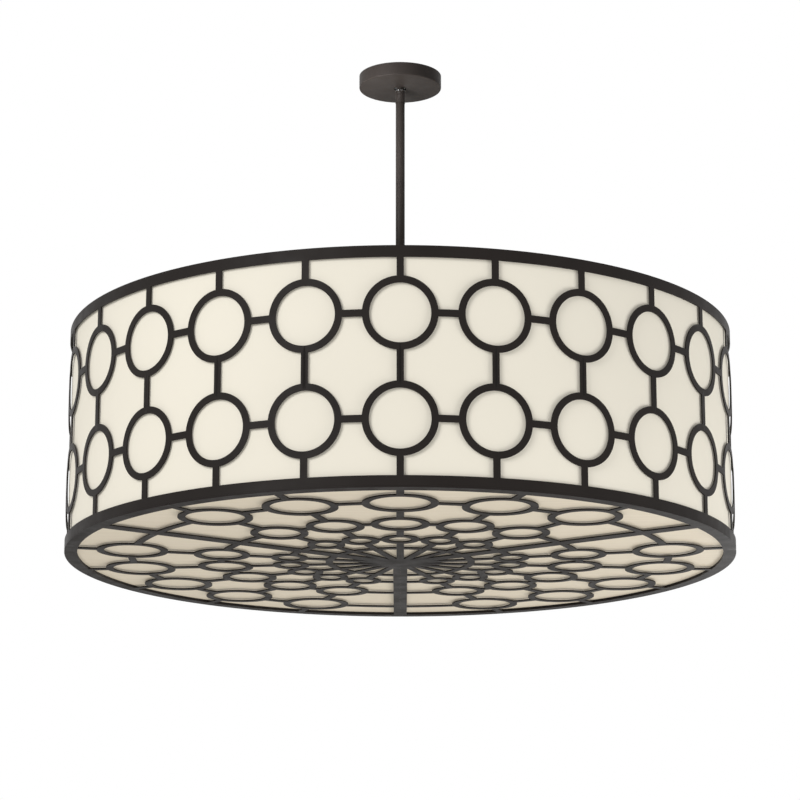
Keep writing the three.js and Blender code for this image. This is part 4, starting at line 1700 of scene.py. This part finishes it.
@dataclass(frozen=True)
class Camera:
    """The camera of the photograph: its place, the pitch in radians that turns it up, and its lens."""

    place: Triple = (0.0, -6.3659, -2.4102)
    pitch: float = 0.24846
    lens: float = 127.686
    sensor: float = 36.0
    shift: float = -0.0003
    reach: float = 60.0

    def stand(self) -> None:
        """Stands the camera level, looking along +Y and turned up by its pitch."""
        data = bpy.data.cameras.new("photo_camera")
        data.lens, data.sensor_width = self.lens, self.sensor
        data.clip_end, data.shift_x = self.reach, self.shift
        holder = bpy.data.objects.new("photo_camera", data)
        holder.location = self.place
        holder.rotation_euler = (math.pi / 2.0 + self.pitch, 0.0, 0.0)
        bpy.context.scene.collection.objects.link(holder)
        bpy.context.scene.camera = holder


@dataclass(frozen=True)
class Studio:
    """Floor, lights, white surround and the camera of the photograph."""

    floor: Floor = Floor()
    camera: Camera = Camera()
    surround: float = 0.3
    panels: tuple[SoftPanel, ...] = (
        SoftPanel("key_left", (-4.0, -5.4, 1.2), (0.0, 0.0, -0.9), 3.0, 246.0),
        SoftPanel("fill_below", (3.0, -1.6, -2.5), (0.3, 0.0, -1.1), 2.0, 54.0),
        SoftPanel("canopy_bounce", (-0.2, -0.25, -0.25), (-0.12, -0.16, -0.02), 0.2, 3.8),
        SoftPanel("edge_left", (-4.0, 0.8, -0.6), (-0.5, 0.0, -0.9), 2.0, 2.0),
        SoftPanel("back_right", (1.9, 3.2, -2.15), (0.5, 0.0, -1.17), 1.0, 30.0),
        SoftPanel("overhead", (0.0, 1.0, 3.0), (0.0, 0.5, -4.2), 4.0, 90.0),
    )

    def world(self) -> None:
        """Lights the scene evenly, and shows white to the camera, reflections and glass."""
        world = bpy.data.worlds.new("surround")
        world.use_nodes = True
        tree = world.node_tree
        background = tree.nodes["Background"]
        path = tree.nodes.new("ShaderNodeLightPath")
        mixer = tree.nodes.new("ShaderNodeMix")
        mixer.data_type = "FLOAT"
        factor, dim, bright = (socket for socket in mixer.inputs if socket.enabled)
        dim.default_value, bright.default_value = self.surround, 1.0
        seen = path.outputs["Is Camera Ray"]
        for ray in ("Is Glossy Ray", "Is Transmission Ray"):
            either = tree.nodes.new("ShaderNodeMath")
            either.operation = "MAXIMUM"
            tree.links.new(seen, either.inputs[0])
            tree.links.new(path.outputs[ray], either.inputs[1])
            seen = either.outputs[0]
        strength = next(socket for socket in mixer.outputs if socket.enabled)
        tree.links.new(seen, factor)
        tree.links.new(strength, background.inputs["Strength"])
        background.inputs["Color"].default_value = (1.0, 1.0, 1.0, 1.0)
        bpy.context.scene.world = world

    def build(self) -> None:
        """Sets up the whole studio."""
        bpy.context.scene.view_settings.view_transform = "Standard"
        self.camera.stand()
        self.world()
        self.floor.lay()
        for panel in self.panels:
            panel.light()
        LOG.info("studio ready")


def main() -> None:
    logging.basicConfig(level=logging.INFO, format="%(name)s: %(message)s")
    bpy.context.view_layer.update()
    Studio().build()
    shelf = FinishShelf()
    shelf.dress_frame()
    workshop = Workshop(shelf)
    drum = DrumSizes.from_frame()
    for part in (SideGrille(drum), BottomGrille(drum), Diffusers(drum), RolledAngles(drum),
                 HubPlate(drum), Spider(drum), CeilingEnd(), StemLine(), LampCluster()):
        part.build(workshop)
        LOG.info("finished %s", type(part).__name__)


if __name__ == "__main__":
    main()
